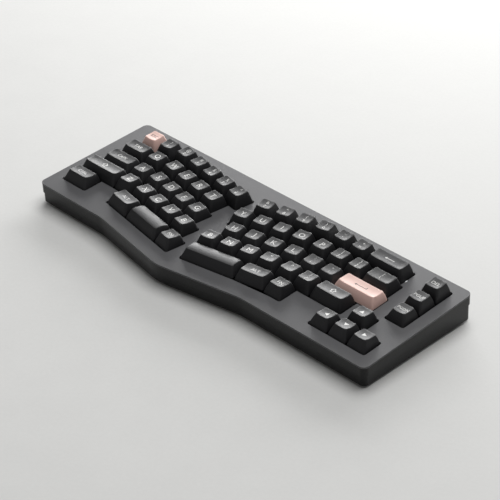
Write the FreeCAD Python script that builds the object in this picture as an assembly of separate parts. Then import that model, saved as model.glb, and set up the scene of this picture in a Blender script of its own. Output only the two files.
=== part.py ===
import FreeCAD, Part
import math
import os

from FreeCAD import Placement, Rotation, Vector

# A 68-key desk keyboard with two turned key blocks, in millimetres. It is drawn in its deck frame:
# X to the right, Y to the back, Z square to the cover, and zero at the middle of the cover's top.
# The whole keyboard is then tipped up at the back by the typing angle and stood on its feet.

# Case outline and heights
CASE_WIDTH = 367.0
CASE_DEPTH = 122.0
CORNER_RADIUS = 5.0
LEAST_CORNER = 1.0
NOSE_DEPTH = 13.6
NOSE_CENTRE = 158.5
NOSE_RADIUS = 45.0
BEND_RADIUS = 40.0
TYPING_ANGLE = 2.5
FRONT_HEIGHT = 18.0
COVER_THICKNESS = 1.5
SEAM_DEPTH = 9.0
LOWER_INSET = 0.8
WALL = 4.0
LEDGE = 4.3
FLOOR = 2.0

# Key grid: one key unit, and the places of the blocks from the case's back left corner
UNIT = 19.05
KEY_GAP = 1.0
OPENING_MARGIN = 0.9
OPENING_RADIUS = 2.2
OPENING_REACH = 0.5
ROW_ONE = 19.9
LEFT_COLUMN = 31.6
LEFT_TURNED = (70.45, 18.7)
RIGHT_TURNED = (176.1, 29.7)
RIGHT_COLUMN = 242.9
RIGHT_FN = 246.3
TURN = 9.6
NAV_COLUMN = 337.1
ARROW_DROP = 0.25

# Keycaps: the height, shift and lean of the top face, for the five rows from the back. A top that
# leans less than zero is higher at its front.
TOP_HEIGHT = (10.6, 9.3, 7.9, 9.1, 8.2)
TOP_SHIFT = (0.8, 1.1, 1.7, 1.6, 1.9)
TOP_LEAN = (0.0, -2.0, -3.0, -7.0, -8.0)
TOP_NARROWING = 6.3
BASE_RADIUS = 1.2
TOP_RADIUS = 2.2
CAP_WALL = 1.3
CAP_ROOF = 1.5
CAP_INNER_RADIUS = 0.6
CAP_SINK = 0.45
DISH_RADIUS = 34.0
DISH_DEPTH = 0.8
CROWN_RADIUS = 24.0

# Switches
TRAVEL = 3.6
PLATE_DROP = 6.9
PLATE_THICKNESS = 1.5
SWITCH_HOLE = 14.0
HOUSING_FLANGE = 15.6
FLANGE_THICKNESS = 1.0
HOUSING_TOP = 9.6
HOUSING_HEIGHT = 6.5
HOUSING_DEPTH = 5.0
HOUSING_FLOOR = 1.0
PEG_RADIUS = 2.0
PEG_LENGTH = 3.2
STEM_WIDTH = 6.4
STEM_DEPTH = 5.6
STEM_BLOCK = 5.0
STEM_CLEARANCE = 0.3
CROSS_LENGTH = 4.0
CROSS_BAR = 1.2
CROSS_HEIGHT = 3.6
SOCKET_SPARE = 0.2
POST_RADIUS = 2.75
POLE_RADIUS = 1.4
POLE_CLEARANCE = 0.2
SPRING_WALL = 0.5
SPRING_GAP = 0.25

# Stabilisers of the keys that are two units wide or more
STABILISED_WIDTH = 2.0
STABILISER_REACH = 11.94
STABILISER_WIDTH = 8.0
STABILISER_DEPTH = 12.4
STABILISER_HEIGHT = 2.5
STABILISER_SINK = 4.8
STABILISER_LIP = 0.5
STABILISER_FLOOR = 0.5
STABILISER_STEM_WIDTH = 5.6
STABILISER_STEM_DEPTH = 4.6
STABILISER_STEM_BLOCK = 7.0
WIRE_RADIUS = 0.8
WIRE_HEIGHT = 0.9
WIRE_CLEARANCE = 0.25

# Boards, foam and small parts
BOARD_THICKNESS = 1.6
BOARD_INSET_GAP = 0.4
FOAM_CLEARANCE = 0.3
CASE_FOAM = 0.7
SOCKET_SIZE = (10.9, 4.6, 1.7)
SOCKET_OFFSET = 4.9
CHIP_SIZE = (7.0, 7.0, 0.9)
CHIP_PLACE = (172.0, 16.0)
GASKET_HEIGHT = 1.0
GASKET_WIDTH = 2.6
GASKET_LENGTH = 18.0
USB_PLACE = 38.0
USB_SIZE = (8.94, 7.4, 3.2)
USB_SHELL = 0.3
USB_BACK = 1.0
USB_TONGUE = (6.2, 4.9, 0.7)
USB_CLEARANCE = 0.3
USB_POCKET_CLEARANCE = 0.6
USB_WALL = 1.5
LENS_PLACE = (319.8, 22.2)
LENS_SIZE = (1.0, 2.6)
SCREW_RADIUS = 1.25
SCREW_HEAD_RADIUS = 2.3
SCREW_HEAD_HEIGHT = 1.6
SCREW_CLEARANCE = 0.15
PLATE_SCREW_CLEARANCE = 0.6
SCREW_INSET = 6.4
SCREW_TIP_COVER = 2.0
FOOT_RADIUS = 6.0
FOOT_HEIGHT = 2.0
FOOT_RECESS = 0.6
FOOT_INSET = 20.0

# How far a cutter runs past the face that it opens, and the gap under which two points are one
CUT_OVERRUN = 1.0
POINT_GAP = 0.001

PLATE_TOP = -PLATE_DROP
PLATE_BOTTOM = PLATE_TOP - PLATE_THICKNESS
BOARD_TOP = PLATE_TOP - HOUSING_DEPTH
BOARD_BOTTOM = BOARD_TOP - BOARD_THICKNESS
CAP_BASE = -CAP_SINK
SHOULDER = PLATE_TOP + HOUSING_HEIGHT
PLATE_INSET = LOWER_INSET + WALL + BOARD_INSET_GAP
BOARD_INSET = LOWER_INSET + WALL + LEDGE + BOARD_INSET_GAP

# Each row of keys: block, row from the back, where the row starts in key units, then its keys
ROWS = (
    ("left", 0, -0.5, (("escape", 1), ("1", 1))),
    ("left", 1, -0.75, (("tab", 1.5), ("q", 1))),
    ("left", 2, -0.875, (("caps_lock", 1.75), ("a", 1))),
    ("left", 3, -1.125, (("left_shift", 2.25), ("z", 1))),
    ("left", 4, -1.125, (("left_control", 1.5),)),
    ("left_turned", 0, -0.5, (("2", 1), ("3", 1), ("4", 1), ("5", 1), ("6", 1))),
    ("left_turned", 1, 0.0, (("w", 1), ("e", 1), ("r", 1), ("t", 1))),
    ("left_turned", 2, 0.23, (("s", 1), ("d", 1), ("f", 1), ("g", 1))),
    ("left_turned", 3, 0.73, (("x", 1), ("c", 1), ("v", 1), ("b", 1))),
    ("left_turned", 4, 0.44, (("left_alt", 1.5), ("left_space", 2.25), ("left_fn", 1))),
    ("right_turned", 0, -0.5, (("7", 1), ("8", 1), ("9", 1), ("0", 1))),
    ("right_turned", 1, -1.0, (("y", 1), ("u", 1), ("i", 1), ("o", 1))),
    ("right_turned", 2, -0.75, (("h", 1), ("j", 1), ("k", 1), ("l", 1))),
    ("right_turned", 3, -1.25, (("b_right", 1), ("n", 1), ("m", 1), ("comma", 1))),
    ("right_turned", 4, -1.25, (("right_space", 2.75), ("right_alt", 1.5))),
    ("right", 0, 0.0, (("minus", 1), ("equals", 1), ("backspace", 2))),
    ("right", 1, -0.3, (("p", 1), ("open_bracket", 1), ("close_bracket", 1), ("backslash", 1.5))),
    ("right", 2, 0.08, (("semicolon", 1), ("quote", 1), ("enter", 2.25))),
    ("right", 3, -0.22, (("full_stop", 1), ("slash", 1), ("right_shift", 1.75))),
    ("right_fn", 4, 0.0, (("right_fn", 1),)),
    ("navigation", 0, 0.0, (("delete", 1),)),
    ("navigation", 1, 0.0, (("page_up", 1),)),
    ("navigation", 2, 0.0, (("page_down", 1),)),
    ("navigation", 3 + ARROW_DROP, -1.0, (("up", 1),)),
    ("navigation", 4 + ARROW_DROP, -2.0, (("left", 1), ("down", 1), ("right", 1))),
)

# Keys that share one node; every other key is a node of its own
GROUPS = {
    "digit_keys": ("1", "2", "3", "4", "5", "6", "7", "8", "9", "0"),
    "symbol_keys": ("minus", "equals", "open_bracket", "close_bracket", "backslash", "semicolon",
                    "quote", "comma", "full_stop", "slash"),
    "arrow_keys": ("up", "left", "down", "right"),
    "navigation_keys": ("delete", "page_up", "page_down"),
    "modifier_keys": ("left_alt", "left_fn", "right_alt", "right_fn"),
}
SPACEBARS = ("left_space", "right_space")

# Neighbours in two blocks whose openings are joined, so that no sliver of the cover is left between them
JOINED_OPENINGS = (("1", "2"), ("q", "w"), ("a", "s"), ("z", "x"), ("0", "minus"), ("o", "p"),
                   ("l", "semicolon"), ("comma", "full_stop"), ("right_alt", "right_fn"))


def block_start(block):
    """Where a block's first row begins (its left end, in deck millimetres) and the block's turn."""
    left, back = -CASE_WIDTH / 2, CASE_DEPTH / 2
    starts = {
        "left": (LEFT_COLUMN, ROW_ONE, 0.0),
        "left_turned": (*LEFT_TURNED, -TURN),
        "right_turned": (*RIGHT_TURNED, TURN),
        "right": (RIGHT_COLUMN, ROW_ONE, 0.0),
        "right_fn": (RIGHT_FN, ROW_ONE, 0.0),
        "navigation": (NAV_COLUMN, ROW_ONE, 0.0),
    }
    x, y, turn = starts[block]
    return left + x, back - y, turn


def key_list():
    """Every key as a dictionary: name, width in units, row, centre and turn."""
    keys = []
    for block, row, start, names in ROWS:
        x0, y0, turn = block_start(block)
        angle = math.radians(turn)
        along = start
        for name, width in names:
            u = (along + width / 2) * UNIT
            v = -row * UNIT
            centre = Vector(x0 + u * math.cos(angle) - v * math.sin(angle),
                            y0 + u * math.sin(angle) + v * math.cos(angle), 0)
            keys.append({"name": name, "width": width, "row": int(row), "centre": centre, "turn": turn})
            along += width
    return keys


def key_node(name):
    """The node that holds a key."""
    for group, names in GROUPS.items():
        if name in names:
            return group
    return "key_" + name


def placed(shape, key):
    """A copy of a shape drawn at the origin, turned and moved to a key's centre."""
    copy = shape.copy()
    copy.rotate(Vector(0, 0, 0), Vector(0, 0, 1), key["turn"])
    copy.translate(key["centre"])
    return copy


def box(width, depth, low, high, x=0.0, y=0.0):
    """An upright box centred at x, y."""
    return Part.makeBox(width, depth, high - low, Vector(x - width / 2, y - depth / 2, low))


def cylinder(radius, low, high, x=0.0, y=0.0):
    return Part.makeCylinder(radius, high - low, Vector(x, y, low))


def rounded_wire(corners, z=0.0):
    """A closed wire through corners (x, y, radius), rounded by arcs that touch both sides, or sharp."""
    edges, joints = [], []
    count = len(corners)
    for i, (x, y, radius) in enumerate(corners):
        point = Vector(x, y, z)
        before = Vector(*corners[i - 1][:2], z)
        after = Vector(*corners[(i + 1) % count][:2], z)
        inward = (point - before).normalize()
        outward = (after - point).normalize()
        turn = inward.getAngle(outward)
        reach = radius * math.tan(turn / 2)
        start, end = point - inward * reach, point + outward * reach
        toward = (outward - inward).normalize()
        middle = point + toward * (radius / math.cos(turn / 2) - radius)
        joints.append((start, middle, end))
    for i, (start, middle, end) in enumerate(joints):
        if start.distanceToPoint(end) > POINT_GAP:
            edges.append(Part.Arc(start, middle, end).toShape())
        following = joints[(i + 1) % count][0]
        if end.distanceToPoint(following) > POINT_GAP:
            edges.append(Part.makeLine(end, following))
    return Part.Wire(edges)


def case_corners(inset):
    """The case outline, anticlockwise from the back left corner, moved in by an inset."""
    left, right = -CASE_WIDTH / 2 + inset, CASE_WIDTH / 2 - inset
    back, front = CASE_DEPTH / 2 - inset, -CASE_DEPTH / 2 + inset
    slope = math.tan(math.radians(TURN))
    lean = inset / math.cos(math.radians(TURN))
    nose_x = -CASE_WIDTH / 2 + NOSE_CENTRE
    nose_y = -CASE_DEPTH / 2 - NOSE_DEPTH + lean
    reach = (front - nose_y) / slope
    corner = max(CORNER_RADIUS - inset, LEAST_CORNER)
    bend = BEND_RADIUS + inset
    return [(left, back, corner), (left, front, corner), (nose_x - reach, front, bend),
            (nose_x, nose_y, NOSE_RADIUS), (nose_x + reach, front, bend),
            (right, front, corner), (right, back, corner)]


def slab(inset, low, high):
    """A plate of the case's outline between two heights."""
    face = Part.Face(rounded_wire(case_corners(inset), low))
    return face.extrude(Vector(0, 0, high - low))


def hull(points):
    """The corners of the smallest convex outline around some points."""
    ordered = sorted(set((p.x, p.y) for p in points))
    chain = []
    for walk in (ordered, ordered[::-1]):
        base = len(chain)
        for x, y in walk:
            while len(chain) >= base + 2:
                (ax, ay), (bx, by) = chain[-2], chain[-1]
                if (bx - ax) * (y - ay) - (by - ay) * (x - ax) > 0:
                    break
                chain.pop()
            chain.append((x, y))
        chain.pop()
    return chain


def opening_halves(key):
    """Half the width and half the depth of a key's opening in the cover."""
    return (key["width"] * UNIT - KEY_GAP) / 2 + OPENING_MARGIN, (UNIT - KEY_GAP) / 2 + OPENING_MARGIN


def opening_corners(key, right=1):
    """The corners of a key's opening, from its left side up to a share of its right half."""
    half_x, half_y = opening_halves(key)
    turn = Rotation(Vector(0, 0, 1), key["turn"])
    return [key["centre"] + turn.multVec(Vector(x * half_x, y * half_y, 0))
            for x, y in ((-1, -1), (right, -1), (right, 1), (-1, 1))]


def by_opening(point, key):
    """Whether a point is in a key's opening or no further than OPENING_REACH from it."""
    half_x, half_y = opening_halves(key)
    place = Rotation(Vector(0, 0, 1), -key["turn"]).multVec(point - key["centre"])
    return abs(place.x) < half_x + OPENING_REACH and abs(place.y) < half_y + OPENING_REACH


def opening_wire(key, keys, z):
    """The outline of a key's opening, rounded at the corners that aren't by another key's opening."""
    others = [other for other in keys if other is not key]
    corners = []
    for point in opening_corners(key):
        radius = 0 if any(by_opening(point, other) for other in others) else OPENING_RADIUS
        corners.append((point.x, point.y, radius))
    return rounded_wire(corners, z)


def key_openings(keys, low, high):
    """One solid that cuts the openings for all keys, with no slivers left between the blocks."""
    by_name = {key["name"]: key for key in keys}
    wires = [opening_wire(key, keys, low) for key in keys]
    for a, b in JOINED_OPENINGS:
        outline = hull(opening_corners(by_name[a]) + opening_corners(by_name[b], right=0))
        points = [Vector(x, y, low) for x, y in outline]
        wires.append(Part.makePolygon(points + points[:1]))
    prisms = [Part.Face(wire).extrude(Vector(0, 0, high - low)) for wire in wires]
    return prisms[0].fuse(prisms[1:]).removeSplitter()


def cap_section(key, height, inset, radius):
    """A keycap's level outline at a height over its base, moved in by a wall."""
    top = TOP_HEIGHT[key["row"]]
    share = height / top
    half_x = (key["width"] * UNIT - KEY_GAP - TOP_NARROWING * share) / 2 - inset
    half_y = (UNIT - KEY_GAP - TOP_NARROWING * share) / 2 - inset
    shift = TOP_SHIFT[key["row"]] * share
    return [(-half_x, shift - half_y, radius), (half_x, shift - half_y, radius),
            (half_x, shift + half_y, radius), (-half_x, shift + half_y, radius)]


def dish_tool(key, centre, lean):
    """The ball, or long capsule on a wide key, that hollows a keycap's top."""
    reach = (key["width"] - 1) * UNIT / 2
    lift = Rotation(Vector(1, 0, 0), lean).multVec(Vector(0, 0, DISH_RADIUS - DISH_DEPTH))
    middle = centre + lift
    if reach == 0:
        return Part.makeSphere(DISH_RADIUS, middle)
    side = Vector(reach, 0, 0)
    tool = Part.makeCylinder(DISH_RADIUS, 2 * reach, middle - side, Vector(1, 0, 0))
    for end in (middle - side, middle + side):
        tool = tool.fuse(Part.makeSphere(DISH_RADIUS, end))
    return tool.removeSplitter()


def crown_tool(key, centre, lean):
    """The long round bar that a spacebar's crowned top lies on."""
    length = key["width"] * UNIT
    drop = Rotation(Vector(1, 0, 0), lean).multVec(Vector(0, 0, -CROWN_RADIUS))
    start = centre + drop - Vector(length / 2, 0, 0)
    return Part.makeCylinder(CROWN_RADIUS, length, start, Vector(1, 0, 0))


def cross(low, high, spare=0.0):
    """The switch's cross, or the hole for it."""
    along = box(CROSS_LENGTH, CROSS_BAR, low, high + spare)
    across = box(CROSS_BAR, CROSS_LENGTH, low, high + spare)
    return along.fuse(across).removeSplitter()


def stem_places(key):
    """Where a key is held: its switch, and the stabiliser's two stems on a wide key."""
    if key["width"] >= STABILISED_WIDTH:
        return [0.0, -STABILISER_REACH, STABILISER_REACH]
    return [0.0]


def keycap(key):
    """A hollow keycap with a dished or crowned top and a round post for each stem."""
    row = key["row"]
    top, shift, lean = TOP_HEIGHT[row], TOP_SHIFT[row], TOP_LEAN[row]
    crowned = key["name"] in SPACEBARS
    base = rounded_wire(cap_section(key, 0, 0, BASE_RADIUS), 0)
    rim = rounded_wire(cap_section(key, top, 0, TOP_RADIUS), 0)
    rim.translate(Vector(0, -shift, 0))
    rim.rotate(Vector(0, 0, 0), Vector(1, 0, 0), lean)
    rim.translate(Vector(0, shift, top))
    body = Part.makeLoft([base, rim], True, True)
    centre = Vector(0, shift, top)
    if crowned:
        body = body.common(crown_tool(key, centre, lean))
    else:
        body = body.cut(dish_tool(key, centre, lean))
    roof = top - DISH_DEPTH - CAP_ROOF
    inner = [rounded_wire(cap_section(key, z, CAP_WALL, CAP_INNER_RADIUS), z) for z in (0, roof)]
    inside = Part.makeLoft(inner, True, True)
    body = body.cut(inside)
    post_low = SHOULDER - CAP_BASE
    posts = [cylinder(POST_RADIUS, post_low, roof + CAP_ROOF / 2, x) for x in stem_places(key)]
    body = body.fuse(posts).removeSplitter()
    for x in stem_places(key):
        hole = cross(post_low, post_low + CROSS_HEIGHT, SOCKET_SPARE)
        hole.translate(Vector(x, 0, 0))
        body = body.cut(hole)
    body.translate(Vector(0, 0, CAP_BASE))
    return placed(body, key)


def switch_stem(key):
    """A switch's sliding stem: cross, block and the pole inside the spring."""
    low = SHOULDER - STEM_BLOCK
    block = box(STEM_WIDTH, STEM_DEPTH, low, SHOULDER)
    pole = cylinder(POLE_RADIUS, low - STEM_BLOCK, low)
    stem = cross(SHOULDER, SHOULDER + CROSS_HEIGHT).fuse([block, pole]).removeSplitter()
    return placed(stem, key)


def stabiliser_stem(key, x):
    """A stabiliser's sliding stem, slotted at the front so that the wire's end stays clear."""
    low = SHOULDER - STABILISER_STEM_BLOCK
    block = box(STABILISER_STEM_WIDTH, STABILISER_STEM_DEPTH, low, SHOULDER, x)
    cross_part = cross(SHOULDER, SHOULDER + CROSS_HEIGHT)
    cross_part.translate(Vector(x, 0, 0))
    wire_level = PLATE_TOP + WIRE_HEIGHT
    half = WIRE_RADIUS + WIRE_CLEARANCE
    slot = box(2 * half, STABILISER_STEM_DEPTH, wire_level - half, wire_level + half + TRAVEL,
               x, -STABILISER_STEM_DEPTH / 2 + WIRE_RADIUS + WIRE_CLEARANCE)
    return placed(block.cut(slot).fuse(cross_part), key)


def key_solids(key):
    """All the solids that move with one key."""
    solids = [keycap(key), switch_stem(key)]
    solids += [stabiliser_stem(key, x) for x in stem_places(key)[1:]]
    return solids


def switch_housing(key):
    """A switch's housing: it clips into the plate, and its peg goes through the circuit board."""
    flange_top = PLATE_TOP + FLANGE_THICKNESS
    lower = box(SWITCH_HOLE, SWITCH_HOLE, BOARD_TOP, PLATE_TOP)
    flange = box(HOUSING_FLANGE, HOUSING_FLANGE, PLATE_TOP, flange_top)
    foot = SWITCH_HOLE / 2
    head = HOUSING_TOP / 2
    levels = ((foot, flange_top), (head, SHOULDER))
    rings = [Part.makePolygon([Vector(-h, -h, z), Vector(h, -h, z), Vector(h, h, z), Vector(-h, h, z),
                               Vector(-h, -h, z)]) for h, z in levels]
    upper = Part.makeLoft(rings, True, True)
    peg = cylinder(PEG_RADIUS, BOARD_TOP - PEG_LENGTH, BOARD_TOP)
    body = lower.fuse([flange, upper, peg]).removeSplitter()
    well = box(STEM_WIDTH + 2 * STEM_CLEARANCE, STEM_DEPTH + 2 * STEM_CLEARANCE,
               BOARD_TOP + HOUSING_FLOOR, SHOULDER)
    pole_low = SHOULDER - 2 * STEM_BLOCK - TRAVEL - POLE_CLEARANCE
    bore = cylinder(POLE_RADIUS + POLE_CLEARANCE, pole_low, BOARD_TOP + HOUSING_FLOOR)
    return placed(body.cut([well, bore]), key)


def switch_spring(key):
    """A switch's spring, drawn as a sleeve of the length that it has with the key pressed down."""
    inner = POLE_RADIUS + SPRING_GAP
    low = BOARD_TOP + HOUSING_FLOOR
    high = SHOULDER - STEM_BLOCK - TRAVEL
    sleeve = cylinder(inner + SPRING_WALL, low, high).cut(cylinder(inner, low, high))
    return placed(sleeve, key)


def stabiliser_housing(key, x):
    """One of the two housings that guide a stabiliser's stems."""
    top = PLATE_TOP + STABILISER_HEIGHT
    low = PLATE_TOP - STABILISER_SINK
    guide = STABILISER_STEM_WIDTH + 2 * STEM_CLEARANCE
    body = box(STABILISER_WIDTH, STABILISER_DEPTH, PLATE_TOP, top, x)
    width, depth = STABILISER_WIDTH - 2 * STABILISER_LIP, STABILISER_DEPTH - 2 * STABILISER_LIP
    body = body.fuse(box(width, depth, low, PLATE_TOP, x))
    well = box(guide, STABILISER_STEM_DEPTH + 2 * STEM_CLEARANCE, low + STABILISER_FLOOR, top, x)
    window = 2 * (WIRE_RADIUS + WIRE_CLEARANCE)
    level = PLATE_TOP + WIRE_HEIGHT
    reach = STABILISER_DEPTH / 2 + CUT_OVERRUN
    slit = box(window, reach, level - WIRE_RADIUS, top, x, -reach / 2)
    return placed(body.removeSplitter().cut([well, slit]), key)


def stabiliser_wire(key):
    """The bent wire that makes both ends of a wide key go down together."""
    level = PLATE_TOP + WIRE_HEIGHT
    front = -HOUSING_FLANGE / 2 - WIRE_RADIUS - WIRE_CLEARANCE
    end = -STABILISER_STEM_DEPTH / 2 + WIRE_RADIUS
    bar = Part.makeCylinder(WIRE_RADIUS, 2 * STABILISER_REACH, Vector(-STABILISER_REACH, front, level),
                            Vector(1, 0, 0))
    parts = []
    for x in (-STABILISER_REACH, STABILISER_REACH):
        corner = Vector(x, front, level)
        parts.append(Part.makeSphere(WIRE_RADIUS, corner))
        parts.append(Part.makeCylinder(WIRE_RADIUS, end - front, corner, Vector(0, 1, 0)))
    return placed(bar.fuse(parts).removeSplitter(), key)


def stabiliser_holes(key, low, high, spare=0.0):
    """The cutters that pass a wide key's stabiliser housings through a board or foam."""
    width = STABILISER_WIDTH + 2 * (spare - STABILISER_LIP)
    depth = STABILISER_DEPTH + 2 * (spare - STABILISER_LIP)
    return [placed(box(width, depth, low, high, x), key) for x in stem_places(key)[1:]]


def board_cutters(keys, low, high, size):
    """Square cutters of one size at every switch, with those of the stabilisers."""
    spare = (size - SWITCH_HOLE) / 2
    cutters = [placed(box(size, size, low, high), key) for key in keys]
    for key in keys:
        cutters += stabiliser_holes(key, low, high, spare)
    return cutters


def screw_places():
    """Screws at the four corners, two more along the back and two along the front."""
    right, back = CASE_WIDTH / 2 - SCREW_INSET, CASE_DEPTH / 2 - SCREW_INSET
    along_back, along_front = CASE_WIDTH / 6, CASE_WIDTH / 3
    places = [(x, back) for x in (-right, -along_back, along_back, right)]
    return places + [(x, -back) for x in (-right, -along_front, along_front, right)]


def foot_places():
    """Feet at the four corners, and one each at the middle of the back and under the nose."""
    right, back = CASE_WIDTH / 2 - FOOT_INSET, CASE_DEPTH / 2 - FOOT_INSET
    nose = -CASE_WIDTH / 2 + NOSE_CENTRE
    return [(-right, back), (right, back), (-right, -back), (right, -back), (nose, back),
            (nose, -back - NOSE_DEPTH)]


def gasket_places():
    """Gasket strips, as middle and turn: midway between screws, and at the middle of each side."""
    inset = PLATE_INSET + GASKET_WIDTH / 2
    right, back = CASE_WIDTH / 2 - inset, CASE_DEPTH / 2 - inset
    screws = screw_places()
    places = []
    for (left_x, left_y), (right_x, right_y) in zip(screws, screws[1:]):
        middle = (left_x + right_x) / 2
        on_the_nose = left_y < 0 and middle == 0
        if left_y == right_y and not on_the_nose:
            places.append((middle, math.copysign(back, left_y), 0))
    return places + [(-right, 0, 90), (right, 0, 90)]


def ground_height(y):
    """The height over the desk of the cover's top, at a place front to back."""
    return FOOT_HEIGHT + FRONT_HEIGHT + (CASE_DEPTH / 2 + y) * math.sin(math.radians(TYPING_ANGLE))


def stand():
    """The placement that tips the deck frame up and stands it over the desk."""
    tip = Placement(Vector(0, 0, 0), Rotation(Vector(1, 0, 0), TYPING_ANGLE))
    lift = Placement(Vector(0, nose_offset(), ground_height(0)), Rotation())
    return lift.multiply(tip)


def nose_offset():
    """How far back the case moves so that its footprint is centred at the origin."""
    rim = slab(0, -SEAM_DEPTH, 0)
    rim.rotate(Vector(0, 0, 0), Vector(1, 0, 0), TYPING_ANGLE)
    limits = rim.BoundBox
    return -(limits.YMin + limits.YMax) / 2


def above_desk(height):
    """A block of everything over a height above the desk, drawn in the deck frame."""
    reach = 2 * CASE_WIDTH
    block = Part.makeBox(reach, reach, reach, Vector(-reach / 2, -reach / 2, height))
    block.Placement = stand().inverse().multiply(block.Placement)
    return block


def standing_cylinder(radius, low, high, x, y):
    """An upright round solid between two heights over the desk, at a deck place, in the deck frame."""
    spot = stand().multVec(Vector(x, y, -FRONT_HEIGHT))
    shape = Part.makeCylinder(radius, high - low, Vector(spot.x, spot.y, low))
    shape.Placement = stand().inverse().multiply(shape.Placement)
    return shape


def usb_box(spare, mouth, low, high):
    """A block around the USB-C socket, up to an inset from the case's back."""
    width = USB_SIZE[0] + 2 * spare
    back = CASE_DEPTH / 2 - mouth
    depth = BOARD_INSET + USB_SIZE[1] - mouth
    x = -CASE_WIDTH / 2 + USB_PLACE
    return Part.makeBox(width, depth, high - low, Vector(x - width / 2, back - depth, low))


def usb_mouth():
    """The opening in the case's back that a plug goes through; the seam runs into it on both sides."""
    return usb_box(USB_CLEARANCE, 0, BOARD_TOP - USB_CLEARANCE, BOARD_TOP + USB_SIZE[2] + USB_CLEARANCE)


def top_cover(keys):
    """The matte sheet with openings for the keys and a slot for the lens."""
    sheet = slab(0, -COVER_THICKNESS, 0)
    sheet = sheet.cut(key_openings(keys, -COVER_THICKNESS, 0))
    return sheet.cut(lens_shape())


def upper_frame(keys):
    """The glossy band under the cover, pocketed below for the plate's rim."""
    pocket_top = PLATE_TOP + GASKET_HEIGHT
    frame = slab(0, -SEAM_DEPTH, -COVER_THICKNESS)
    frame = frame.cut(key_openings(keys, -SEAM_DEPTH, -COVER_THICKNESS))
    frame = frame.cut(slab(LOWER_INSET + WALL, -SEAM_DEPTH, pocket_top))
    frame = frame.cut([lens_shape(), usb_mouth()])
    tip = -COVER_THICKNESS - SCREW_TIP_COVER
    return frame.cut([cylinder(SCREW_RADIUS, -SEAM_DEPTH, tip, x, y) for x, y in screw_places()])


def lower_case():
    """The tray under the seam: walls, a ledge for the gaskets, a level floor and the USB-C mouth."""
    depth = 2 * FRONT_HEIGHT
    tray = slab(LOWER_INSET, -depth, -SEAM_DEPTH).common(above_desk(FOOT_HEIGHT))
    ledge_top = PLATE_BOTTOM - GASKET_HEIGHT
    tray = tray.cut(slab(LOWER_INSET + WALL, ledge_top, -SEAM_DEPTH))
    well = slab(LOWER_INSET + WALL + LEDGE, -depth, ledge_top).common(above_desk(FOOT_HEIGHT + FLOOR))
    tray = tray.cut(well)
    tray = tray.cut(usb_mouth())
    pocket_low = BOARD_BOTTOM - USB_CLEARANCE
    tray = tray.cut(usb_box(USB_POCKET_CLEARANCE, USB_WALL + LOWER_INSET, pocket_low, ledge_top))
    cutters = []
    for x, y in screw_places():
        cutters.append(cylinder(SCREW_RADIUS + SCREW_CLEARANCE, -depth, -SEAM_DEPTH, x, y))
        cutters.append(cylinder(SCREW_HEAD_RADIUS + SCREW_CLEARANCE, -depth, screw_seat(y), x, y))
    for x, y in foot_places():
        cutters.append(standing_cylinder(FOOT_RADIUS, FOOT_HEIGHT, FOOT_HEIGHT + FOOT_RECESS, x, y))
    return tray.cut(cutters)


def screw_seat(y):
    """The deck height of a screw head's seat, just inside the case's underside."""
    slope = (SCREW_HEAD_RADIUS + SCREW_CLEARANCE) * math.tan(math.radians(TYPING_ANGLE))
    over_desk = FOOT_HEIGHT + SCREW_HEAD_HEIGHT + slope - ground_height(y)
    return over_desk / math.cos(math.radians(TYPING_ANGLE))


def case_screw(x, y):
    seat = screw_seat(y)
    tip = -COVER_THICKNESS - SCREW_TIP_COVER
    head = cylinder(SCREW_HEAD_RADIUS, seat - SCREW_HEAD_HEIGHT, seat, x, y)
    return head.fuse(cylinder(SCREW_RADIUS, seat, tip, x, y)).removeSplitter()


def switch_plate(keys):
    """The plate that every switch clips into; it passes the case screws."""
    plate = slab(PLATE_INSET, PLATE_BOTTOM, PLATE_TOP)
    cutters = board_cutters(keys, PLATE_BOTTOM, PLATE_TOP, SWITCH_HOLE)
    hole = SCREW_RADIUS + PLATE_SCREW_CLEARANCE
    cutters += [cylinder(hole, PLATE_BOTTOM, PLATE_TOP, x, y) for x, y in screw_places()]
    return plate.cut(cutters)


def plate_foam(keys):
    """The foam sheet between the plate and the circuit board."""
    sheet = slab(BOARD_INSET, BOARD_TOP, PLATE_BOTTOM)
    sheet = sheet.cut(board_cutters(keys, BOARD_TOP, PLATE_BOTTOM, SWITCH_HOLE + 2 * FOAM_CLEARANCE))
    return sheet.cut(usb_box(FOAM_CLEARANCE, 0, BOARD_TOP, PLATE_BOTTOM))


def circuit_board(keys):
    """The circuit board, with a tongue at the back for the USB-C socket."""
    board = slab(BOARD_INSET, BOARD_BOTTOM, BOARD_TOP)
    tongue = usb_box(0, USB_WALL + LOWER_INSET + USB_CLEARANCE, BOARD_BOTTOM, BOARD_TOP)
    board = board.fuse(tongue).removeSplitter()
    return board.cut([placed(cylinder(PEG_RADIUS, BOARD_BOTTOM, BOARD_TOP), key) for key in keys])


def hot_swap_socket(key):
    """The socket under the board that takes a switch's pins."""
    width, depth, height = SOCKET_SIZE
    return placed(box(width, depth, BOARD_BOTTOM - height, BOARD_BOTTOM, 0, SOCKET_OFFSET), key)


def case_foam():
    """The thin foam sheet that lies on the tray's floor."""
    low = FOOT_HEIGHT + FLOOR
    block = slab(BOARD_INSET, -2 * FRONT_HEIGHT, BOARD_BOTTOM)
    return block.common(above_desk(low)).cut(above_desk(low + CASE_FOAM))


def gasket_strips():
    """Soft strips above and below the plate's rim."""
    strips = []
    for low in (PLATE_TOP, PLATE_BOTTOM - GASKET_HEIGHT):
        for x, y, turn in gasket_places():
            strip = box(GASKET_LENGTH, GASKET_WIDTH, low, low + GASKET_HEIGHT)
            strip.rotate(Vector(0, 0, 0), Vector(0, 0, 1), turn)
            strip.translate(Vector(x, y, 0))
            strips.append(strip)
    return strips


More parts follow.
